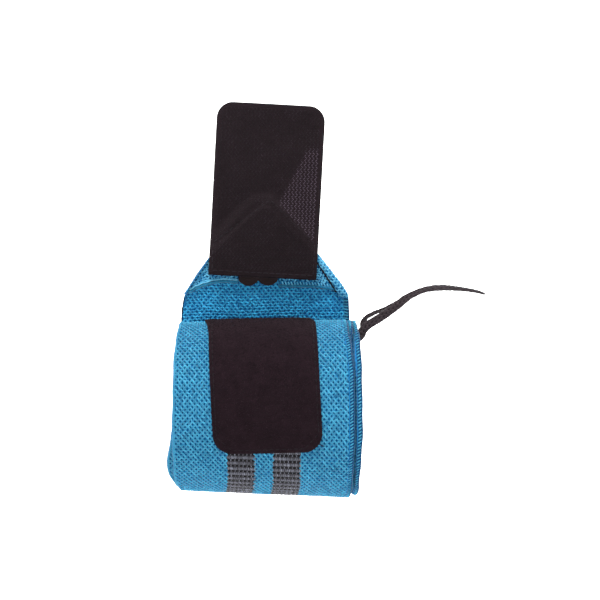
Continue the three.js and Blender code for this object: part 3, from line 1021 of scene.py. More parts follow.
def make_fuzz_group():
    """Fine uneven tone and height of spun yarn."""
    group, entry, end = shader_group(
        "Yarn fuzz",
        [
            ("Place", "NodeSocketVector", (0, 0, 0)),
            ("Grain", "NodeSocketFloat", 3000),
            ("Patches", "NodeSocketFloat", 60),
        ],
        [("Tone", "NodeSocketFloat"), ("Height", "NodeSocketFloat")],
    )
    fine = add_node(
        group,
        "ShaderNodeTexNoise",
        {"Vector": entry.outputs["Place"], "Scale": entry.outputs["Grain"], "Detail": 3.0, "Roughness": 0.6},
    )
    broad = add_node(
        group,
        "ShaderNodeTexNoise",
        {"Vector": entry.outputs["Place"], "Scale": entry.outputs["Patches"], "Detail": 2.0, "Roughness": 0.5},
    )
    fine_part = math_node(group, "MULTIPLY", fine.outputs["Fac"], 0.5)
    broad_part = math_node(group, "MULTIPLY", broad.outputs["Fac"], 0.5)
    group.links.new(math_node(group, "ADD", fine_part, broad_part), end.inputs["Tone"])
    group.links.new(fine.outputs["Fac"], end.inputs["Height"])
    return group


net_group = make_net_group()
fuzz_group = make_fuzz_group()


def new_material(name, roughness, sheen, specular):
    """A cloth material: its tree and its shader, with the constant values set on the shader."""
    material = bpy.data.materials.new(name)
    material.use_nodes = True
    tree = material.node_tree
    shader = tree.nodes["Principled BSDF"]
    shader.inputs["Roughness"].default_value = roughness
    shader.inputs["Sheen Weight"].default_value = sheen
    shader.inputs["Sheen Roughness"].default_value = 0.45
    shader.inputs["Specular IOR Level"].default_value = specular
    return material, tree, shader


def smooth_range(tree, value, low, high):
    node = add_node(
        tree, "ShaderNodeMapRange", {"Value": value, "From Min": low, "From Max": high},
        interpolation_type="SMOOTHSTEP",
    )
    return node.outputs["Result"]


def add_bump(tree, shader, height, distance, strength=1.0):
    bump = add_node(tree, "ShaderNodeBump", {"Height": height, "Distance": distance, "Strength": strength})
    tree.links.new(bump.outputs["Normal"], shader.inputs["Normal"])


def make_webbing_material():
    """The elastic under its raised yarn: blue ground with dark holes, grey stripes on the outer face only,
    and painted shade in the groove under the ladder of its hand-side edge, a dark blue ground."""
    material, tree, shader = new_material("elastic webbing", 0.85, 0.1, 0.08)
    cloth = add_node(tree, "ShaderNodeUVMap", uv_map="cloth").outputs["UV"]
    outer = add_node(tree, "ShaderNodeAttribute", attribute_name="outer_face").outputs["Fac"]
    hand_reach = add_node(tree, "ShaderNodeAttribute", attribute_name="hand_reach").outputs["Fac"]
    forearm_reach = add_node(tree, "ShaderNodeAttribute", attribute_name="forearm_reach").outputs["Fac"]
    blue_net = group_node(
        tree, net_group, {"Cloth": cloth, "Across": hole_across * MM, "Along": hole_along * MM}
    ).outputs["Staggered"]
    split = add_node(tree, "ShaderNodeSeparateXYZ", {"Vector": cloth})
    off_middle = math_node(tree, "ABSOLUTE", split.outputs["X"])
    stripe_across = math_node(tree, "SUBTRACT", off_middle, stripe_gap / 2 * MM)
    stripe_along = math_node(tree, "ADD", split.outputs["Y"], stripe_hole_along / 2 * MM)
    across_reach = cell_reach(tree, stripe_across, stripe_hole_across * MM, 0.62)
    along_reach = cell_reach(tree, stripe_along, stripe_hole_along * MM, 0.34)
    grey_net = math_node(tree, "MAXIMUM", across_reach, along_reach)
    in_low = math_node(tree, "GREATER_THAN", off_middle, stripe_gap / 2 * MM)
    in_high = math_node(tree, "LESS_THAN", off_middle, (stripe_gap / 2 + stripe_width) * MM)
    on_outer = math_node(tree, "GREATER_THAN", outer, 0.75)
    stripe = math_node(tree, "MULTIPLY", math_node(tree, "MULTIPLY", in_low, in_high), on_outer)
    place = add_node(tree, "ShaderNodeTexCoord").outputs["Object"]
    fuzz = group_node(tree, fuzz_group, {"Place": place, "Grain": 3500.0, "Patches": 70.0})
    blue_yarn = mix_tones(tree, fuzz.outputs["Tone"], "blue ground")
    hole = mix_colour(tree, on_outer, inner_hole_blue, hole_blue)
    blue = mix_colour(tree, smooth_range(tree, blue_net, 0.25, 0.7), hole, blue_yarn)
    grey_yarn = mix_tones(tree, fuzz.outputs["Tone"], "grey ground")
    grey = mix_colour(tree, smooth_range(tree, grey_net, 0.8, 1.3), stripe_hole_grey, grey_yarn)
    body = mix_colour(tree, stripe, blue, grey)
    selvage = add_node(tree, "ShaderNodeAttribute", attribute_name="selvage").outputs["Fac"]
    past_selvage = math_node(tree, "SUBTRACT", hand_reach, selvage)
    plain = mix_colour(tree, smooth_range(tree, past_selvage, -0.3, 0.1), selvage_blue, body)
    # Painted shade: the ladder strip's ground turns dark blue for the shade in the grooves between its ticks
    groove = smooth_range(tree, hand_reach, ladder_to - 0.15, ladder_to + 0.1)
    laddered = mix_colour(tree, groove, groove_shade_blue, plain)
    rim = smooth_range(tree, forearm_reach, 0.7, 1.3)
    tree.links.new(mix_colour(tree, rim, selvage_blue, laddered), shader.inputs["Base Color"])
    low_fuzz = math_node(tree, "MULTIPLY", fuzz.outputs["Height"], 0.3)
    relief = math_node(tree, "ADD", smooth_range(tree, blue_net, 0.2, 0.9), low_fuzz)
    add_bump(tree, shader, relief, 0.0003)
    return material


def make_yarn_material(name, tone_name, roughness=0.8, sheen=0.12, specular=0.1):
    """Raised yarn whose tone follows each thread's own shade."""
    material, tree, shader = new_material(name, roughness, sheen, specular)
    place = add_node(tree, "ShaderNodeTexCoord").outputs["Object"]
    fuzz = group_node(tree, fuzz_group, {"Place": place, "Grain": 5000.0, "Patches": 90.0})
    shade = add_node(tree, "ShaderNodeAttribute", attribute_name="shade").outputs["Fac"]
    centred = math_node(tree, "SUBTRACT", fuzz.outputs["Tone"], 0.5)
    tone = math_node(tree, "ADD", shade, math_node(tree, "MULTIPLY", centred, 0.7))
    kept_tone = add_node(tree, "ShaderNodeClamp", {"Value": tone}).outputs["Result"]
    tree.links.new(mix_tones(tree, kept_tone, tone_name), shader.inputs["Base Color"])
    add_bump(tree, shader, fuzz.outputs["Height"], 0.0001)
    return material


def make_pile_material():
    """Black brushed pile: soft, with faint lighter and browner patches."""
    material, tree, shader = new_material("loop pile", 0.95, 0.02, 0.05)
    place = add_node(tree, "ShaderNodeTexCoord").outputs["Object"]
    fuzz = group_node(tree, fuzz_group, {"Place": place, "Grain": 1300.0, "Patches": 150.0})
    tree.links.new(mix_tones(tree, fuzz.outputs["Tone"], "pile"), shader.inputs["Base Color"])
    add_bump(tree, shader, fuzz.outputs["Height"], 0.0006)
    return material


def make_tape_material(name):
    """Woven black nylon tape: fine ribs both ways."""
    material, tree, shader = new_material(name, 0.75, 0.02, 0.08)
    cloth = add_node(tree, "ShaderNodeUVMap", uv_map="cloth").outputs["UV"]
    place = add_node(tree, "ShaderNodeTexCoord").outputs["Object"]
    fuzz = group_node(tree, fuzz_group, {"Place": place, "Grain": 3000.0, "Patches": 80.0})
    pitches = {"Across": 0.55 * MM, "Along": 0.7 * MM}
    weave = group_node(tree, net_group, {"Cloth": cloth, **pitches}).outputs["Plain"]
    ribs = smooth_range(tree, weave, 0.3, 1.0)
    tone = math_node(tree, "MULTIPLY", math_node(tree, "ADD", ribs, fuzz.outputs["Tone"]), 0.5)
    tree.links.new(mix_tones(tree, tone, name), shader.inputs["Base Color"])
    add_bump(tree, shader, math_node(tree, "ADD", ribs, fuzz.outputs["Height"]), 0.00012)
    return material


webbing_material = make_webbing_material()
lit_corner_yarn = make_yarn_material("lit corner blue yarn", "lit corner yarn")
outer_yarn = make_yarn_material("outer blue yarn", "outer yarn")
inner_yarn = make_yarn_material("inner blue yarn", "inner yarn")
grey_yarn = make_yarn_material("grey yarn", "grey yarn")
pile_material = make_pile_material()
pile_yarn = make_yarn_material("pile yarn", "pile yarn", roughness=0.95, sheen=0.02, specular=0.05)
tape_material = make_tape_material("hook tape")
tail_material = make_tape_material("tail tape")
hook_material = make_yarn_material("hook wire", "hook wire", roughness=0.7, sheen=0.0)
black_thread = make_yarn_material("black thread", "black thread", roughness=0.7, sheen=0.02)
braid_yarn = make_yarn_material("braid yarn", "braid yarn", sheen=0.05)


# Surfaces to lay threads on


class Surface:
    """One face of a piece of cloth: its points, its height over the cloth's middle, and which way is out."""

    def __init__(self, point, height, sign):
        self.point = point
        self.height = height
        self.sign = sign

    def at(self, along, across, further=0.0):
        return self.point(along, across, self.height + further)


def threads_on(surface, along, across, angle, shade=0.5, lean=0.0):
    """Places for threads on a surface: where each lies, where it aims and which way it faces. angle counts
    from +X towards further along, and lean lifts the aim off the surface."""
    nudge = 0.05
    along = np.asarray(along, float).ravel()
    across = np.asarray(across, float).ravel()
    angle, shade, lean = (np.broadcast_to(value, along.shape) for value in (angle, shade, lean))
    base = surface.at(along, across)
    ahead = surface.at(along + nudge * np.sin(angle), across + nudge * np.cos(angle)) - base
    beside = surface.at(along + nudge * np.cos(angle), across - nudge * np.sin(angle)) - base
    out = (surface.at(along, across, 0.1) - surface.at(along, across, -0.1)) * surface.sign
    face = unit(np.cross(ahead, beside))
    face = np.sign(np.sum(face * out, axis=-1, keepdims=True)) * face
    aim = unit(unit(ahead) * np.cos(lean)[:, None] + face * np.sin(lean)[:, None])
    return {"points": base, "aim": aim, "face": face, "shade": shade, "size": np.ones(along.shape)}


skin_height = cloth_thickness / 2 + yarn_seat
outer_skin = Surface(sheet_point, skin_height, 1)
inner_skin = Surface(sheet_point, -skin_height, -1)

chance = np.random.default_rng(7)


def uneven_tones(tone, spread, count):
    return np.clip(tone + chance.normal(0, spread, count), 0, 1)


# The elastic band


def fold_back(along, across, side):
    """Where a point of the band's corner lies once the corner is folded over along its fold line."""
    middle = point_middle(fold_along)
    up = np.asarray(along) - fold_along
    out = (np.asarray(across) - middle) * side - fold_half_width
    way_up = math.cos(fold_angle * DEGREE)
    way_out = -math.sin(fold_angle * DEGREE)
    reach = up * way_up + out * way_out
    return fold_along + 2 * reach * way_up - up, middle + side * (fold_half_width + 2 * reach * way_out - out)


def build_band_sheet():
    """The band from its inner end, round the wrist and up to the end of its folded point."""
    rim = cloth_thickness / 2
    along = edge_steps(band_end, rim, band_step)
    columns = edge_steps(band_width, rim, band_step_across)
    lip_start = band_width - lip_zone
    columns = np.concatenate([
        columns[columns < lip_start - column_slack],
        np.arange(lip_start, band_width - rim - column_slack, lip_step),
        columns[columns > band_width - rim - column_slack / 2],
    ])
    grid_along = np.repeat(along[:, None], len(columns), axis=1)
    left = sheet_edge(grid_along, -1)
    right = sheet_edge(grid_along, 1)
    across = left + (right - left) * columns / band_width
    bulge = sheet_bulge((along, band_end, rim), (columns, band_width, rim))
    uv = np.stack([across - weave_middle(grid_along), grid_along], axis=-1)
    piece = cloth_piece("band_sheet", sheet_point, grid_along, across, bulge, cloth_thickness, uv)
    set_reaches(piece, *map(on_both_faces, (right - across, across - left, selvage_at(grid_along))))
    return piece


def on_both_faces(values):
    """Values of a grid for the points of a piece of cloth, which shares its border's points."""
    return np.concatenate([values.ravel(), values[1:-1, 1:-1].ravel()])


def set_reaches(piece, hand, forearm, selvage):
    """How far in each point is from the hand-side and forearm-side edges, and how wide the selvage is
    there."""
    for name, values in (("hand_reach", hand), ("forearm_reach", forearm), ("selvage", selvage)):
        set_values(piece.data, name, values)


def corner_surface(along, across, height):
    """The folded corners lie on the band's inner face, with their own face turned towards the front."""
    return sheet_point(along, across, -cloth_thickness - corner_seat - height)


def corner_inner(side):
    """How far from the point's middle a folded corner reaches in, up to the tail."""
    return tail_width / 2 + sewn_gap + side * tail_shift


def build_corner(side):
    """One folded corner: the band's own edge, turned in, is its lower edge."""
    inset = folded_corners[side]["cloth_in"]
    column_rim = 0.03
    row_rim = 0.05
    columns = edge_steps(1.0, column_rim, 0.05)
    rows = edge_steps(1.0, row_rim, 0.06)
    inward = inset + (fold_half_width - corner_inner(side) - inset) * columns
    reach = fold_half_width - inward
    low = corner_low(inward, side)
    high = np.maximum(point_top(reach + inset), low + least_corner)
    along = low[None, :] + (high - low)[None, :] * rows[:, None]
    across = point_middle(along) + side * reach[None, :]
    bulge = sheet_bulge((rows, 1.0, row_rim), (columns, 1.0, column_rim))
    unfolded_along, unfolded_across = fold_back(along, across, side)
    uv = np.stack([unfolded_across - fold_middle, unfolded_along], axis=-1)
    piece = cloth_piece("corner", corner_surface, along, across, bulge, cloth_thickness, uv)
    set_reaches(piece, far_from_edges, far_from_edges, 0)
    return piece


def roll_radius(side, along):
    """The rolled edge's radius, which shrinks up the fold at the hand side."""
    if side < 0:
        return fold_pinch
    return fold_roll * (roll_swell - roll_loss * ease((along - fold_along) / roll_run))


def roll_point(side, along, arc, height):
    """A point on the rolled edge of a fold, at a length round the roll from its outermost line."""
    radius = roll_radius(side, along)
    angle = arc / folded_corners[side]["roll"]
    taper = ease((along - fold_along + roll_lead) / roll_fade)
    across = point_middle(along) + side * (point_half(along) - radius + (radius + height) * np.cos(angle))
    depth = cloth_thickness / 2 + roll_seat * taper + (roll_depth * taper + height) * np.sin(angle)
    return sheet_point(along, across, -depth)


def build_fold_roll(side):
    """The rolled edge along a fold, where the cloth turns back on itself."""
    along = np.linspace(fold_along - roll_start, band_end, roll_rows)
    around = np.linspace(0, 2 * math.pi, roll_sides, endpoint=False)
    grid_along = np.repeat(along[:, None], roll_sides, axis=1)
    arc = np.repeat(around[None, :] * folded_corners[side]["roll"], roll_rows, axis=0)
    points = roll_point(side, grid_along, arc, 0.0)
    faces = tube_faces(roll_rows, roll_sides)
    if side < 0:
        faces = [face[::-1] for face in faces]
    piece = new_object("fold_roll", points.reshape(-1, 3), faces)
    set_uv(piece.data, np.stack([arc, grid_along], axis=-1).reshape(-1, 2))
    set_values(piece.data, "outer_face", roll_face)
    set_reaches(piece, far_from_edges, far_from_edges, 0)
    return piece


def build_webbing():
    parts = [build_band_sheet()]
    for side in (-1, 1):
        parts += [build_corner(side), build_fold_roll(side)]
    webbing = join("webbing", parts)
    webbing.data.materials.append(webbing_material)
    return webbing


def lattice(low, high, half_width):
    """Places of the net's yarns between two lengths along: two slanting yarns for each hole."""
    rows = np.arange(math.floor(low / hole_along * 2), math.ceil(high / hole_along * 2))
    columns = np.arange(-math.ceil(half_width / hole_across) - 1, math.ceil(half_width / hole_across) + 1)
    row, column = (grid.ravel() for grid in np.meshgrid(rows, columns, indexing="ij"))
    across = (column + 0.5 * (row % 2)) * hole_across
    along = row * hole_along / 2
    slope = math.atan2(hole_along / 2, hole_across / 2)
    centre_across = np.concatenate([across + hole_across / 4, across - hole_across / 4])
    centre_along = np.concatenate([along + hole_along / 4, along + hole_along / 4])
    angle = np.concatenate([np.full(len(row), slope), np.full(len(row), math.pi - slope)])
    # The lattice's yarns run between the holes, so its nodes lie half a hole to the side
    return centre_along, centre_across + hole_across / 2, angle


def uneven_threads(surface, along, across, angle, shade=0.5, lit=1):
    """Yarns as a loom leaves them: each a little off its place, its angle, its size and its tone. Yarns
    that rise to one side get a painted highlight and those that cross them painted shade."""
    count = len(along)
    # Painted highlight and shade by which way a yarn slants, mirrored on the inner face by lit
    caught = np.where(np.cos(angle) > 0, rising_highlight, crossing_shade) * lit
    tone = uneven_tones(shade + caught, tone_spread, count)
    places = threads_on(
        surface,
        along + chance.normal(0, place_spread, count),
        across + chance.normal(0, place_spread, count),
        angle + chance.normal(0, angle_spread, count),
        tone,
    )
    places["size"] = 1 + chance.normal(0, size_spread, count)
    return places


def in_stripe(off_middle):
    return np.abs(np.abs(off_middle) - (stripe_gap + stripe_width) / 2) < stripe_width / 2


def selvage_at(along):
    """Width of the plain selvage at the hand-side edge: wider on the innermost turn."""
    return np.where(turn_at(along) < 0.9, inner_ladder_edge, ladder_edge)


def build_net(name, skin, low, high, material, off_stripes=False, near_edges=math.inf):
    """The net's yarns on one face of the band between two lengths along it, but not on its selvages. They
    may also be left off the stripes, or kept near the edges only."""
    along, off_middle, angle = lattice(low, high, band_width / 2 + net_margin)
    across = weave_middle(along) + off_middle
    left = across - sheet_edge(along, -1)
    right = sheet_edge(along, 1) - across
    kept = (along > low) & (along < high) & (left > plain_edge) & (right > selvage_at(along))
    kept &= np.minimum(left, right) < near_edges
    if off_stripes:
        kept &= ~in_stripe(off_middle)
    if skin.sign < 0:
        # The inner face's yarns float flatter, in slightly wavy rows
        angle = np.where(np.cos(angle) > 0, inner_float_angle, math.pi - inner_float_angle)
        bend = float_wobble_bend * np.sin(along / float_wobble_bend_run)
        along = along + float_wobble * np.sin(across / float_wobble_run + bend)
    places = uneven_threads(skin, along[kept], across[kept], angle[kept], lit=skin.sign)
    return grow_threads(name, places, material)


def build_stripe_yarns(low, high):
    """Grey yarns of the two stripes, which leave plain rows of open holes."""
    rows = np.arange(math.ceil(low / stripe_hole_along), math.floor(high / stripe_hole_along))
    row, column, side = (g.ravel() for g in np.meshgrid(rows, np.arange(stripe_holes), [-1, 1], indexing="ij"))
    off_middle = side * (stripe_gap + stripe_width) / 2 - stripe_width / 2 + (column + 0.5) * stripe_hole_across
    parts = []
    for kind in stripe_yarn_kinds:
        along = (row + kind["along"]) * stripe_hole_along
        across = weave_middle(along) + off_middle + kind["across"] * stripe_hole_across
        inside = np.abs(across - point_middle(along)) < point_half(np.maximum(along, fold_along)) - 1
        inside = (inside | (along < fold_along)) & (along < high)
        count = int(inside.sum())
        light = np.where(chance.random(count) < light_yarn_share, light_yarn_tone, 0.0)
        shade = uneven_tones(kind["shade"] + light, stripe_tone_spread, count)
        angle = kind["angle"] * DEGREE + chance.normal(0, stripe_angle_spread, count)
        places = threads_on(outer_skin, along[inside], across[inside], angle, shade)
        places["size"] *= kind["size"]
        parts.append(places)
    return grow_threads("stripe_yarns", gather(parts), grey_yarn)


def build_ladder_edge():
    """Slanting ticks along the hand-side edge, with the webbing's painted groove shade between them."""
    along = np.arange(edge_start, fold_along - edge_end, edge_pitch)
    middle = sheet_edge(along, 1) - (ladder_from + ladder_to) / 2
    shade = uneven_tones(0.6, 0.12, len(along))
    parts = []
    for row in ladder_ticks:
        skin = Surface(sheet_point, row["height"], row["sign"])
        angle = row["angle"] + chance.normal(0, row["spread"], len(along))
        ticks = threads_on(skin, along, middle - row["in"], angle, shade)
        ticks["size"] *= row["size"]
        parts.append(ticks)
    return grow_threads("ladder_edge", gather(parts), outer_yarn)


def build_edge_cords():
    along = np.arange(edge_start, fold_along - edge_end, cord_pitch)
    parts = []
    for row in cord_rows:
        across = sheet_edge(along, row["side"]) - row["side"] * row["in"]
        skin = Surface(sheet_point, row["height"], 1)
        parts.append(threads_on(skin, along, across, math.pi / 2, row["shade"]))
    return grow_threads("edge_cords", gather(parts), outer_yarn)


def along_curve(surface, along, across, pitch, shade):
    """Threads laid end to end along a curve on a surface."""
    length = np.concatenate([[0], np.cumsum(np.hypot(np.diff(along), np.diff(across)))])
    even = np.arange(pitch / 2, length[-1], pitch)
    nudge = 0.2
    here, ahead, behind = (
        np.stack([np.interp(places, length, along), np.interp(places, length, across)])
        for places in (even, even + nudge, even - nudge)
    )
    angle = np.arctan2(*(ahead - behind))
    return threads_on(surface, *here, angle, uneven_tones(shade, 0.05, len(even)))


def build_corner_yarns():
    """Yarns on the visible face of the two folded corners, the rolled lip of one and the ticks of the
    other."""
    skin = Surface(corner_surface, skin_height, -1)
    parts = {"corner_net": [], "corner_lips": [], "corner_rolls": [], "corner_ticks": []}
    for side, corner in folded_corners.items():
        along, off_middle, angle = lattice(fold_along - 4, fold_along + 45, band_width / 2 + net_margin)
        folded_along, folded_across = fold_back(along, fold_middle + off_middle, side)
        reach = side * (folded_across - point_middle(folded_along))
        inner = corner_inner(side)
        low = corner_low(fold_half_width - reach, side) + corner["net_up"]
        kept = (folded_along > low) & (folded_along < fold_along + corner_net_up)
        kept &= (reach < point_half(folded_along) - corner["net_in"]) & (reach > inner + 0.5)
        turned = 2 * (90 - fold_angle) * DEGREE * side - angle
        parts["corner_net"].append(
            uneven_threads(skin, folded_along[kept], folded_across[kept], turned[kept], corner_net_tone)
        )
        last_inward = fold_half_width - inner - 0.6
        inward = np.linspace(corner["edge_in"], last_inward, 60)
        low = corner_low(inward, side)
        across = point_middle(low) + side * (fold_half_width - inward)
        for row in corner_rows:
            if row["side"] == side:
                yarns = along_curve(skin, low + row["up"], across, row["pitch"], row["shade"])
                parts[row["piece"]].append(yarns)
        if side > 0:
            inward = np.arange(corner["edge_in"], last_inward, edge_pitch)
            low = corner_low(inward, side)
            across = point_middle(low) + side * (fold_half_width - inward)
            tone = uneven_tones(0.7, 0.1, len(inward))
            ticks = threads_on(skin, low + corner_tick_up, across, corner_tick_angle, tone)
            parts["corner_ticks"].append(ticks)
    # The rolls take the darker outer yarn; under the left lip their row is the painted shadow line
    return [
        grow_threads(name, gather(places), outer_yarn if name == "corner_rolls" else lit_corner_yarn)
        for name, places in parts.items()
    ]


def build_bead_yarns():
    """Slanting yarns on the rolled edge of the right fold."""
    bead = Surface(lambda along, arc, height: roll_point(1, along, arc, height), yarn_seat, 1)
    rows = np.arange(fold_along - 1, fold_along + bead_length, hole_along / 2)
    along, line = (g.ravel() for g in np.meshgrid(rows, np.arange(bead_lines), indexing="ij"))
    step = np.round((along - fold_along) / (hole_along / 2)).astype(int)
    arc = (line - bead_shift + 0.5 * (step % 2)) * bead_pitch
    angle = np.where((line + step // 2) % 2, bead_angle, math.pi - bead_angle)
    tone = uneven_tones(0.62, tone_spread, len(arc))
    places = threads_on(bead, along + chance.normal(0, 0.06, len(arc)), arc, angle, tone)
    return grow_threads("bead_yarns", places, lit_corner_yarn)


def build_creases():
    """Dark thread beside the right fold and along the free end's left edge and fold: partly painted crease
    shade, partly thread.
    """
    right_along = np.linspace(fold_along + 0.6, fold_along + bead_length, 60)
    right_across = point_middle(right_along) + point_half(right_along) - 2 * roll_radius(1, right_along) - 0.1
    left_along = np.linspace(leave_along - 4, fold_along + bead_length, 90)
    left_across = sheet_edge(left_along, -1) + 0.05
    # Partly painted shade: dark threads laid in the crease and along the edge, where shade falls and some dark
    # thread shows
    right_skin = Surface(corner_surface, cloth_thickness / 2 + 0.25, -1)
    left_skin = Surface(sheet_point, -cloth_thickness / 2 - 0.3, -1)
    creases = [
        along_curve(right_skin, right_along, right_across, crease_pitch, shade=0.3),
        along_curve(left_skin, left_along, left_across, crease_pitch, shade=0.4),
    ]
    creases[1]["size"] *= 0.8
    return grow_threads("fold_creases", gather(creases), black_thread)


# Patch of loop pile


def rounded_half(half_width, corner, from_end):
    short = np.maximum(0, corner - from_end)
    return half_width - corner + np.sqrt(np.maximum(0, corner * corner - short * short))


def patch_place(across, down):
    """Length along the band and place across it for a place on the patch."""
    turn = patch_turn * DEGREE
    v = down - patch_length / 2
    x = patch_shift + across * math.cos(turn) - v * math.sin(turn)
    start = along_at(2) + patch_start
    return start + patch_length / 2 + across * math.sin(turn) + v * math.cos(turn), x


def patch_point(down, across, height):
    along, x = patch_place(across, down)
    return winding_point(along, x, band_thickness / 2 + patch_seat + patch_thickness / 2 + height)


def patch_edges(down):
    """Half widths of the patch on its left and right: its upper left corner is nearly sharp and flares
    out."""
    low = rounded_half(patch_width / 2, patch_corner, patch_length - down)
    top_left = rounded_half(patch_width / 2, patch_top_corner, down)
    top_right = rounded_half(patch_width / 2, patch_round_corner, down)
    flare = patch_flare * ease(1 - down / patch_flare_run)
    return np.minimum(low, top_left) + flare, np.minimum(low, top_right)


def build_patch():
    down = edge_steps(patch_length, patch_rim, patch_grid)
    columns = edge_steps(patch_width, patch_rim, patch_grid)
    left, right = patch_edges(down)
    across = -left[:, None] + (left + right)[:, None] * (columns / patch_width)[None, :]
    rows = np.repeat(down[:, None], len(columns), axis=1)
    bulge = sheet_bulge((down, patch_length, patch_rim), (columns, patch_width, patch_rim))
    uv = np.stack([across, rows], axis=-1)
    patch = cloth_piece("pile_patch", patch_point, rows, across, bulge, patch_thickness, uv)
    patch.data.materials.append(pile_material)
    return patch


def build_pile():
    """Loose tufts all over the patch, each leaning its own way."""
    across = (chance.random(tuft_count) - 0.5) * patch_width
    down = chance.random(tuft_count) * patch_length
    left, right = patch_edges(down)
    inside = (across > 0.2 - left) & (across < right - 0.2)
    count = int(inside.sum())
    lean = 0.5 + 0.5 * chance.random(count)
    angle = chance.random(count) * 2 * math.pi
    skin = Surface(patch_point, patch_thickness / 2, 1)
    tufts = threads_on(skin, down[inside], across[inside], angle, uneven_tones(0.3, 0.3, count), lean)
    return grow_threads("patch_pile", tufts, pile_yarn)


# Closure tab


def tab_place(up, across):
    turn = tab_turn * DEGREE
    x = tab_shift + across * math.cos(turn) + up * math.sin(turn)
    return fold_along + tab_rise - across * math.sin(turn) + up * math.cos(turn), x


def tab_point(up, across, height):
    """Points of the tab: it lies on the folded point, dips beyond it, and is cupped towards its upper end."""
    along, x = tab_place(up, across)
    beyond_end = along - (fold_along + point_length)
    beyond_side = (np.abs(x - point_middle(along)) - point_half(along)) * math.cos(point_angle * DEGREE)
    beyond = np.maximum(beyond_end, beyond_side)
    step = tab_step * ease((beyond + tab_step_lead) / tab_step_run)
    dip = step + (tab_dip - tab_step) * ease((beyond - tab_dip_start) / tab_dip_run)
    cup = tab_cup * (2 * across / tab_width) ** 2 * ease((up - tab_length / 2) / (tab_length / 2))
    seat = -band_thickness * 1.5 - sewn_gap - tab_thickness / 2 + tab_sink
    ridge = tab_ridge * ease((ridge_top - ridge_slope * np.abs(across - ridge_middle) - up) / ridge_run)
    return winding_point(along, x, seat + dip + cup - ridge - height)


tab_skin = Surface(tab_point, tab_thickness / 2, 1)


def build_tab():
    up = edge_steps(tab_length, tab_rim, tab_grid)
    columns = edge_steps(tab_width, tab_rim, tab_grid)
    half = rounded_half(tab_width / 2, tab_corner, tab_length - up)
    across = (columns / tab_width - 0.5)[None, :] * 2 * half[:, None]
    rows = np.repeat(up[:, None], len(columns), axis=1)
    bulge = sheet_bulge((up, tab_length, tab_rim), (columns, tab_width, tab_rim))
    uv = np.stack([across, rows], axis=-1)
    tab = cloth_piece("hook_tape", tab_point, rows, across, bulge, tab_thickness, uv)
    tab.data.materials.append(tape_material)
    return tab


def build_hooks():
    """Rows of small hooks over zigzag backing threads. They stand up in a triangle between the stitched lines,
    where they and the zigzag carry a painted glint, and are pressed flat elsewhere."""
    rows = np.arange(hooks_from, tab_length - hooks_to, hook_pitch)
    columns = np.arange(-hook_columns, hook_columns + 1)
    row, column = (g.ravel() for g in np.meshgrid(rows, columns, indexing="ij"))
    turn = np.round((row - rows[0]) / hook_pitch).astype(int) % 2 * 2 - 1
    across = column * hook_pitch * hook_column_share + turn * hook_swing
    inside = np.abs(across) < rounded_half(tab_width / 2, tab_corner, tab_length - row) - hooks_in
    row, across, turn, column = (values[inside] for values in (row, across, turn, column))
    over = row - glint_row
    zone = glint_across + np.where(over < 0, glint_low_slope, glint_high_slope) * over
    glint = ease((across - zone) / glint_run) * ease((glint_top - row) / glint_fade)
    # Painted glint: hooks in the triangle are painted lighter
    tone = uneven_tones(0.02 + 0.62 * glint, 0.05, len(row))
    places = threads_on(tab_skin, row, across, turn * hook_turn + math.pi / 2, tone)
    places["size"] = 0.7 + 0.4 * glint
    sizes = {"Reach": hook_reach * MM, "Rise": hook_rise * MM, "Wire": hook_wire, "Variation": hook_variation}
    hooks = grow("tab_hooks", hook_tree, places, hook_material, {**sizes, "Seed": 22})
    wave = column % 2 == 0
    # The zigzag takes the same painted glint
    tone = uneven_tones(0.05 + 0.8 * glint, 0.05, len(row))[wave]
    zigzag = threads_on(tab_skin, row[wave], across[wave], math.pi / 2 + turn[wave] * zigzag_turn, tone)
    return [hooks, grow_threads("tab_zigzag", zigzag, hook_material)]


# Tail under the tab


def tail_point(up, share, height):
    low = fold_along + tab_rise - tail_drop
    lobe = np.abs(np.sin(share * 2 * math.pi))
    bottom = low + tail_notch * (1 - lobe**lobe_roundness)
    along = bottom + (low + tail_length - bottom) * up
    x = point_middle(along) + tail_shift + (share - 0.5) * tail_width
    middle = -band_thickness / 2 - sewn_gap - (band_thickness - sewn_gap) / 2
    return winding_point(along, x, middle - height)


def build_tail():
    row_rim = 0.04
    column_rim = 0.03
    up = edge_steps(1.0, row_rim, 0.05)
    share = edge_steps(1.0, column_rim, 0.022)
    rows = np.repeat(up[:, None], len(share), axis=1)
    columns = np.repeat(share[None, :], len(up), axis=0)
    bulge = sheet_bulge((up, 1.0, row_rim), (share, 1.0, column_rim))
    uv = np.stack([columns * tail_width, rows * tail_length], axis=-1)
    tail = cloth_piece("tail_tape", tail_point, rows, columns, bulge, band_thickness - sewn_gap, uv)
    tail.data.materials.append(tail_material)
    return tail


# Thumb loop


def tail_station(turn, row):
    """A place of the strap's sewn end, and how far it is rolled."""
    along = float(along_at(turn))
    normal_y, normal_z = (float(np.interp(along, path[:, 5], path[:, i])) for i in (3, 4))
    height = row["rise"] - band_thickness / 2 - loop_gap - loop_thickness / 2
    centre = winding_point(along, float(edge_at_turn(turn, 1)) - row["inset"], height)
    return centre, abs(math.atan2(normal_y, normal_z)) / DEGREE


def mix_at(x, first, second, start, end):
    """The point at x on the line that passes the first point at start and the second at end."""
    return (first * (end - x) + second * (x - start)) / (end - start)


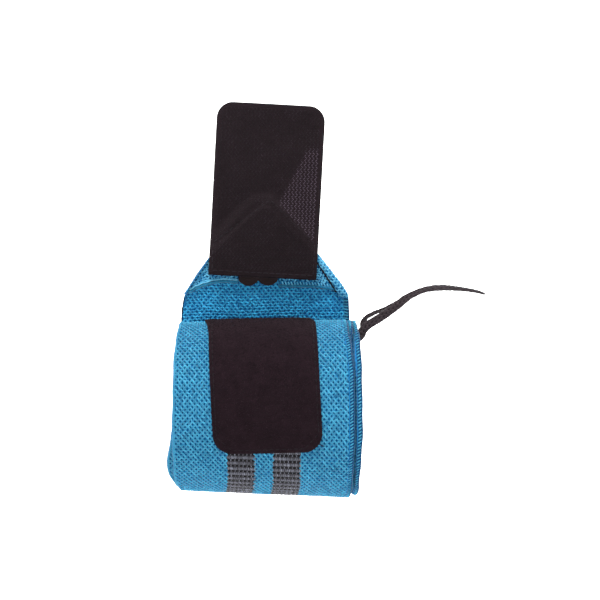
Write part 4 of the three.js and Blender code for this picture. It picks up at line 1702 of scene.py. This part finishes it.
def curve_through(points, steps):
    """Points of a smooth curve through the given ones, evenly many for each span. Each span is the cubic
    through its four nearest points, found by mixing neighbours three times over."""
    ends = [2 * points[0] - points[1], *points, 2 * points[-1] - points[-2]]
    made = []
    for i in range(len(points) - 1):
        near = [np.array(point) for point in ends[i : i + 4]]
        knots = [0.0]
        for a, b in zip(near, near[1:]):
            knots.append(knots[-1] + max(np.linalg.norm(b - a), 1e-4) ** 0.5)
        for share in np.arange(steps) / steps:
            x = knots[1] + (knots[2] - knots[1]) * share
            mixed = near
            for span in (1, 2, 3):
                mixed = [
                    mix_at(x, mixed[k], mixed[k + 1], knots[k], knots[k + span]) for k in range(len(mixed) - 1)
                ]
            made.append(mixed[0])
    made.append(points[-1])
    return np.array(made)


def strap_frame():
    """The strap's centreline with its width and thickness directions, evenly spaced."""
    front = [tail_station(front_tail_turn, row) for row in tail_insets]
    rear = [tail_station(rear_tail_turn, row) for row in reversed(tail_insets)]
    leave = front[-1][0]
    run = []
    for row in loop_run:
        x = leave[0] + row["reach"] * loop_reach
        z = leave[2] + row["lift"] * loop_lift
        run.append((np.array([x, row["side"] * loop_spread, z]), row["roll"]))
    stations = [*front, *run, *rear]
    line = curve_through([s[0] for s in stations], loop_steps)
    rolls = np.interp(np.arange(len(line)) / loop_steps, np.arange(len(stations)), [s[1] for s in stations])
    length = np.concatenate([[0], np.cumsum(np.linalg.norm(np.diff(line, axis=0), axis=1))])
    even = np.linspace(0, length[-1], int(length[-1] / braid_step))
    line = np.stack([np.interp(even, length, line[:, i]) for i in range(3)], axis=-1)
    roll = np.interp(even, length, rolls) * DEGREE
    tangent = unit(np.gradient(line, axis=0))
    up = np.array([0.0, 0.0, 1.0])
    outward = unit(np.cross(tangent, up))
    thick = up * np.cos(roll)[:, None] + outward * np.sin(roll)[:, None]
    thick = unit(thick - tangent * np.sum(thick * tangent, axis=1, keepdims=True))
    return line, np.cross(thick, tangent), thick, even


def swept(name, line, width, thick, half_width, half_thick, sides):
    """A closed tube with an oval section along a line."""
    around = np.arange(sides) * 2 * math.pi / sides
    ring = (
        line[:, None, :]
        + width[:, None, :] * (half_width * np.cos(around))[None, :, None]
        + thick[:, None, :] * (half_thick * np.sin(around))[None, :, None]
    )
    return new_object(name, ring.reshape(-1, 3), tube_faces(len(line), sides))


def build_strap():
    """The thumb loop's flat braid: strands that cross from edge to edge over a flat core."""
    line, width, thick, along = strap_frame()
    core_half_width = loop_width / 2 - core_in
    pieces = [swept("strap_core", line, width, thick, core_half_width, core_half_thickness, core_sides)]
    spacing = braid_period / braid_strands
    for k in range(braid_strands):
        phase = (along / braid_period + k / braid_strands) % 1
        edge = np.clip((4 * np.abs(phase - 0.5) - 1) * braid_swing, -1, 1)
        lift = braid_lift * np.where(phase > 0.5, 1, -1) * np.cos(math.pi * (along / spacing * 0.5 + k))
        lift = lift * (1 - np.abs(edge) ** 8)
        way = line + width * (edge * (loop_width / 2 - braid_in))[:, None] + thick * lift[:, None]
        flat = unit(np.cross(thick, unit(np.gradient(way, axis=0))))
        strand = swept(f"strand_{k}", way, flat, thick, strand_half_width, strand_half_thickness, strand_sides)
        set_values(strand.data, "shade", 0.45 + 0.1 * (k % 3))
        pieces.append(strand)
    strap = join("thumb_strap", pieces)
    strap.data.materials.append(braid_yarn)
    return strap


# Stitches


def stitches_along(surface, corners, pitch, shade=0.5):
    """Stitches along straight lines between corners, each a pair of lengths in the surface's own terms."""
    parts = []
    for (a0, x0), (a1, x1) in zip(corners, corners[1:]):
        count = max(1, int(math.hypot(a1 - a0, x1 - x0) / pitch))
        share = (np.arange(count) + 0.5) / count
        angle = math.atan2(a1 - a0, x1 - x0)
        parts.append(threads_on(surface, a0 + (a1 - a0) * share, x0 + (x1 - x0) * share, angle, shade))
    return gather(parts)


def behind_tab(up, across, height):
    return sheet_point(*tab_place(up, across), height)


def build_stitches():
    """Black thread that sews the tab, the patch and the thumb loop's ends."""
    half = tab_width / 2 - tab_stitch_in
    seam = [(row["up"], row["across"] * half + row["shift"]) for row in tab_seam]
    half = patch_width / 2
    top = [(row["from_top"], row["in"] - half) for row in patch_seam]
    low = [(patch_length - row["from_low"], half - row["in"]) for row in patch_seam]
    patch_round = [
        *top, *[(down, -across) for down, across in reversed(top)],
        *low, *[(down, -across) for down, across in reversed(low)], top[0],
    ]
    end_along, end_across = patch_place(half - loose_in, patch_length - loose_up)
    loose_end = [(end_along + row["along"], end_across + row["across"]) for row in loose_thread]
    behind = Surface(behind_tab, cloth_thickness / 2, 1)
    on_patch = Surface(patch_point, patch_thickness / 2 - 0.05, 1)
    on_band = Surface(sheet_point, band_thickness / 2 + 0.2, 1)
    under_loop = Surface(sheet_point, -band_thickness / 2 - loop_gap - loop_thickness - 0.1, -1)
    parts = [
        stitches_along(tab_skin, seam, tab_stitch_pitch),
        stitches_along(behind, seam, tab_stitch_pitch),
        stitches_along(on_patch, patch_round, patch_stitch_pitch, shade=0.3),
        stitches_along(on_band, loose_end, loose_stitch_pitch, shade=0.2),
    ]
    offsets = np.linspace(-loop_stitch_reach, loop_stitch_reach, loop_stitch_count)
    slant = np.where(np.arange(loop_stitch_count) % 2, loop_stitch_slant, -loop_stitch_slant)
    for turn in (front_tail_turn, rear_tail_turn):
        for inset in loop_stitch_insets:
            across = np.full(loop_stitch_count, float(edge_at_turn(turn, 1)) - inset)
            parts.append(threads_on(under_loop, float(along_at(turn)) + offsets, across, slant))
    return grow_threads("sewing_thread", gather(parts), black_thread)


# Studio


def build_camera():
    camera = bpy.data.objects.new("camera", bpy.data.cameras.new("camera"))
    camera.data.sensor_width = sensor_width
    camera.data.lens = sensor_width * view_distance / view_width
    camera.location = Vector((view_across, -view_distance, view_height)) * MM
    camera.rotation_euler = (math.pi / 2, 0, 0)
    camera.data.clip_start = 0.01
    bpy.context.scene.collection.objects.link(camera)
    bpy.context.scene.camera = camera


def area_light(name, place, target, size, power):
    light = bpy.data.objects.new(name, bpy.data.lights.new(name, "AREA"))
    light.data.size = size
    light.data.energy = power
    light.location = place
    light.rotation_euler = (Vector(target) - Vector(place)).to_track_quat("-Z", "Y").to_euler()
    bpy.context.scene.collection.objects.link(light)


def seen_strength(tree, lit, seen):
    """One strength for lighting the object and another for what the camera sees directly."""
    direct = add_node(tree, "ShaderNodeLightPath").outputs["Is Camera Ray"]
    return math_node(tree, "ADD", math_node(tree, "MULTIPLY", direct, seen - lit), lit)


def build_floor():
    """A pale floor that sweeps up into a backdrop."""
    arc = [
        (
            backdrop_back - backdrop_bend + backdrop_bend * math.sin(a),
            floor_height + backdrop_bend - backdrop_bend * math.cos(a),
        )
        for a in np.linspace(0, math.pi / 2, 13)
    ]
    profile = [(-backdrop_reach, floor_height), *arc, (backdrop_back, backdrop_reach)]
    points = [(x, y, z) for y, z in profile for x in (-backdrop_reach, backdrop_reach)]
    faces = [[2 * i, 2 * i + 1, 2 * i + 3, 2 * i + 2] for i in range(len(profile) - 1)]
    floor = new_object("floor", np.array(points) / MM, faces)
    material, tree, shader = new_material("pale floor", 0.9, 0, 0.5)
    noise = add_node(tree, "ShaderNodeTexNoise", {"Scale": 3.0})
    tree.links.new(mix_tones(tree, noise.outputs["Fac"], "floor"), shader.inputs["Base Color"])
    shader.inputs["Emission Color"].default_value = (1, 1, 1, 1)
    tree.links.new(seen_strength(tree, floor_glow, seen_glow), shader.inputs["Emission Strength"])
    floor.data.materials.append(material)


def build_studio():
    """The backdrop, soft light from above, both sides and below, and a pale world."""
    build_floor()
    world = bpy.data.worlds.new("studio")
    world.use_nodes = True
    tree = world.node_tree
    background = tree.nodes["Background"]
    background.inputs["Color"].default_value = (1, 1, 1, 1)
    tree.links.new(seen_strength(tree, world_glow, seen_glow), background.inputs["Strength"])
    bpy.context.scene.world = world
    for row in lights:
        area_light(**row)
    view = bpy.context.scene.view_settings
    view.view_transform = "Standard"
    view.look = "None"


# Make everything

build_camera()
build_studio()
thread_tree = make_thread_tree()
hook_tree = make_hook_tree()

outermost_from = float(along_at(leave_turn - 1)) - 2
front_until = float(along_at(2.5))
inner_turn_end = float(along_at(0.93))
free_end_from = float(along_at(2.78))

webbing = build_webbing()
weave = [
    build_net("outer_turn_net_front", outer_skin, outermost_from, front_until, outer_yarn, off_stripes=True),
    build_net("outer_turn_net_back", outer_skin, front_until, band_end - 1, outer_yarn, off_stripes=True),
    build_net("inner_turns_net", outer_skin, 1, outermost_from, outer_yarn, near_edges=peeping_reach),
    build_net("hollow_net", inner_skin, 1, inner_turn_end, inner_yarn),
    build_net("free_end_net", inner_skin, free_end_from, fold_along + 9, inner_yarn),
    build_stripe_yarns(outermost_from, band_end - 2),
    build_ladder_edge(),
    build_edge_cords(),
    *build_corner_yarns(),
    build_bead_yarns(),
    build_creases(),
]
patch = build_patch()
pile = build_pile()
tab = build_tab()
hooks = build_hooks()
tail = build_tail()
strap = build_strap()
stitches = build_stitches()

slots = {
    "elastic_webbing": [webbing, *weave],
    "loop_pile": [patch, pile],
    "hook_tape": [tab, *hooks, stitches],
    "tail_tape": [tail],
    "braided_elastic": [strap],
}
for slot, pieces in slots.items():
    for piece in pieces:
        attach(piece, "root")

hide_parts("band")
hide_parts("loop_patch")
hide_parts("hook_tab")
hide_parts("tab_tail")
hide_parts("thumb_loop")
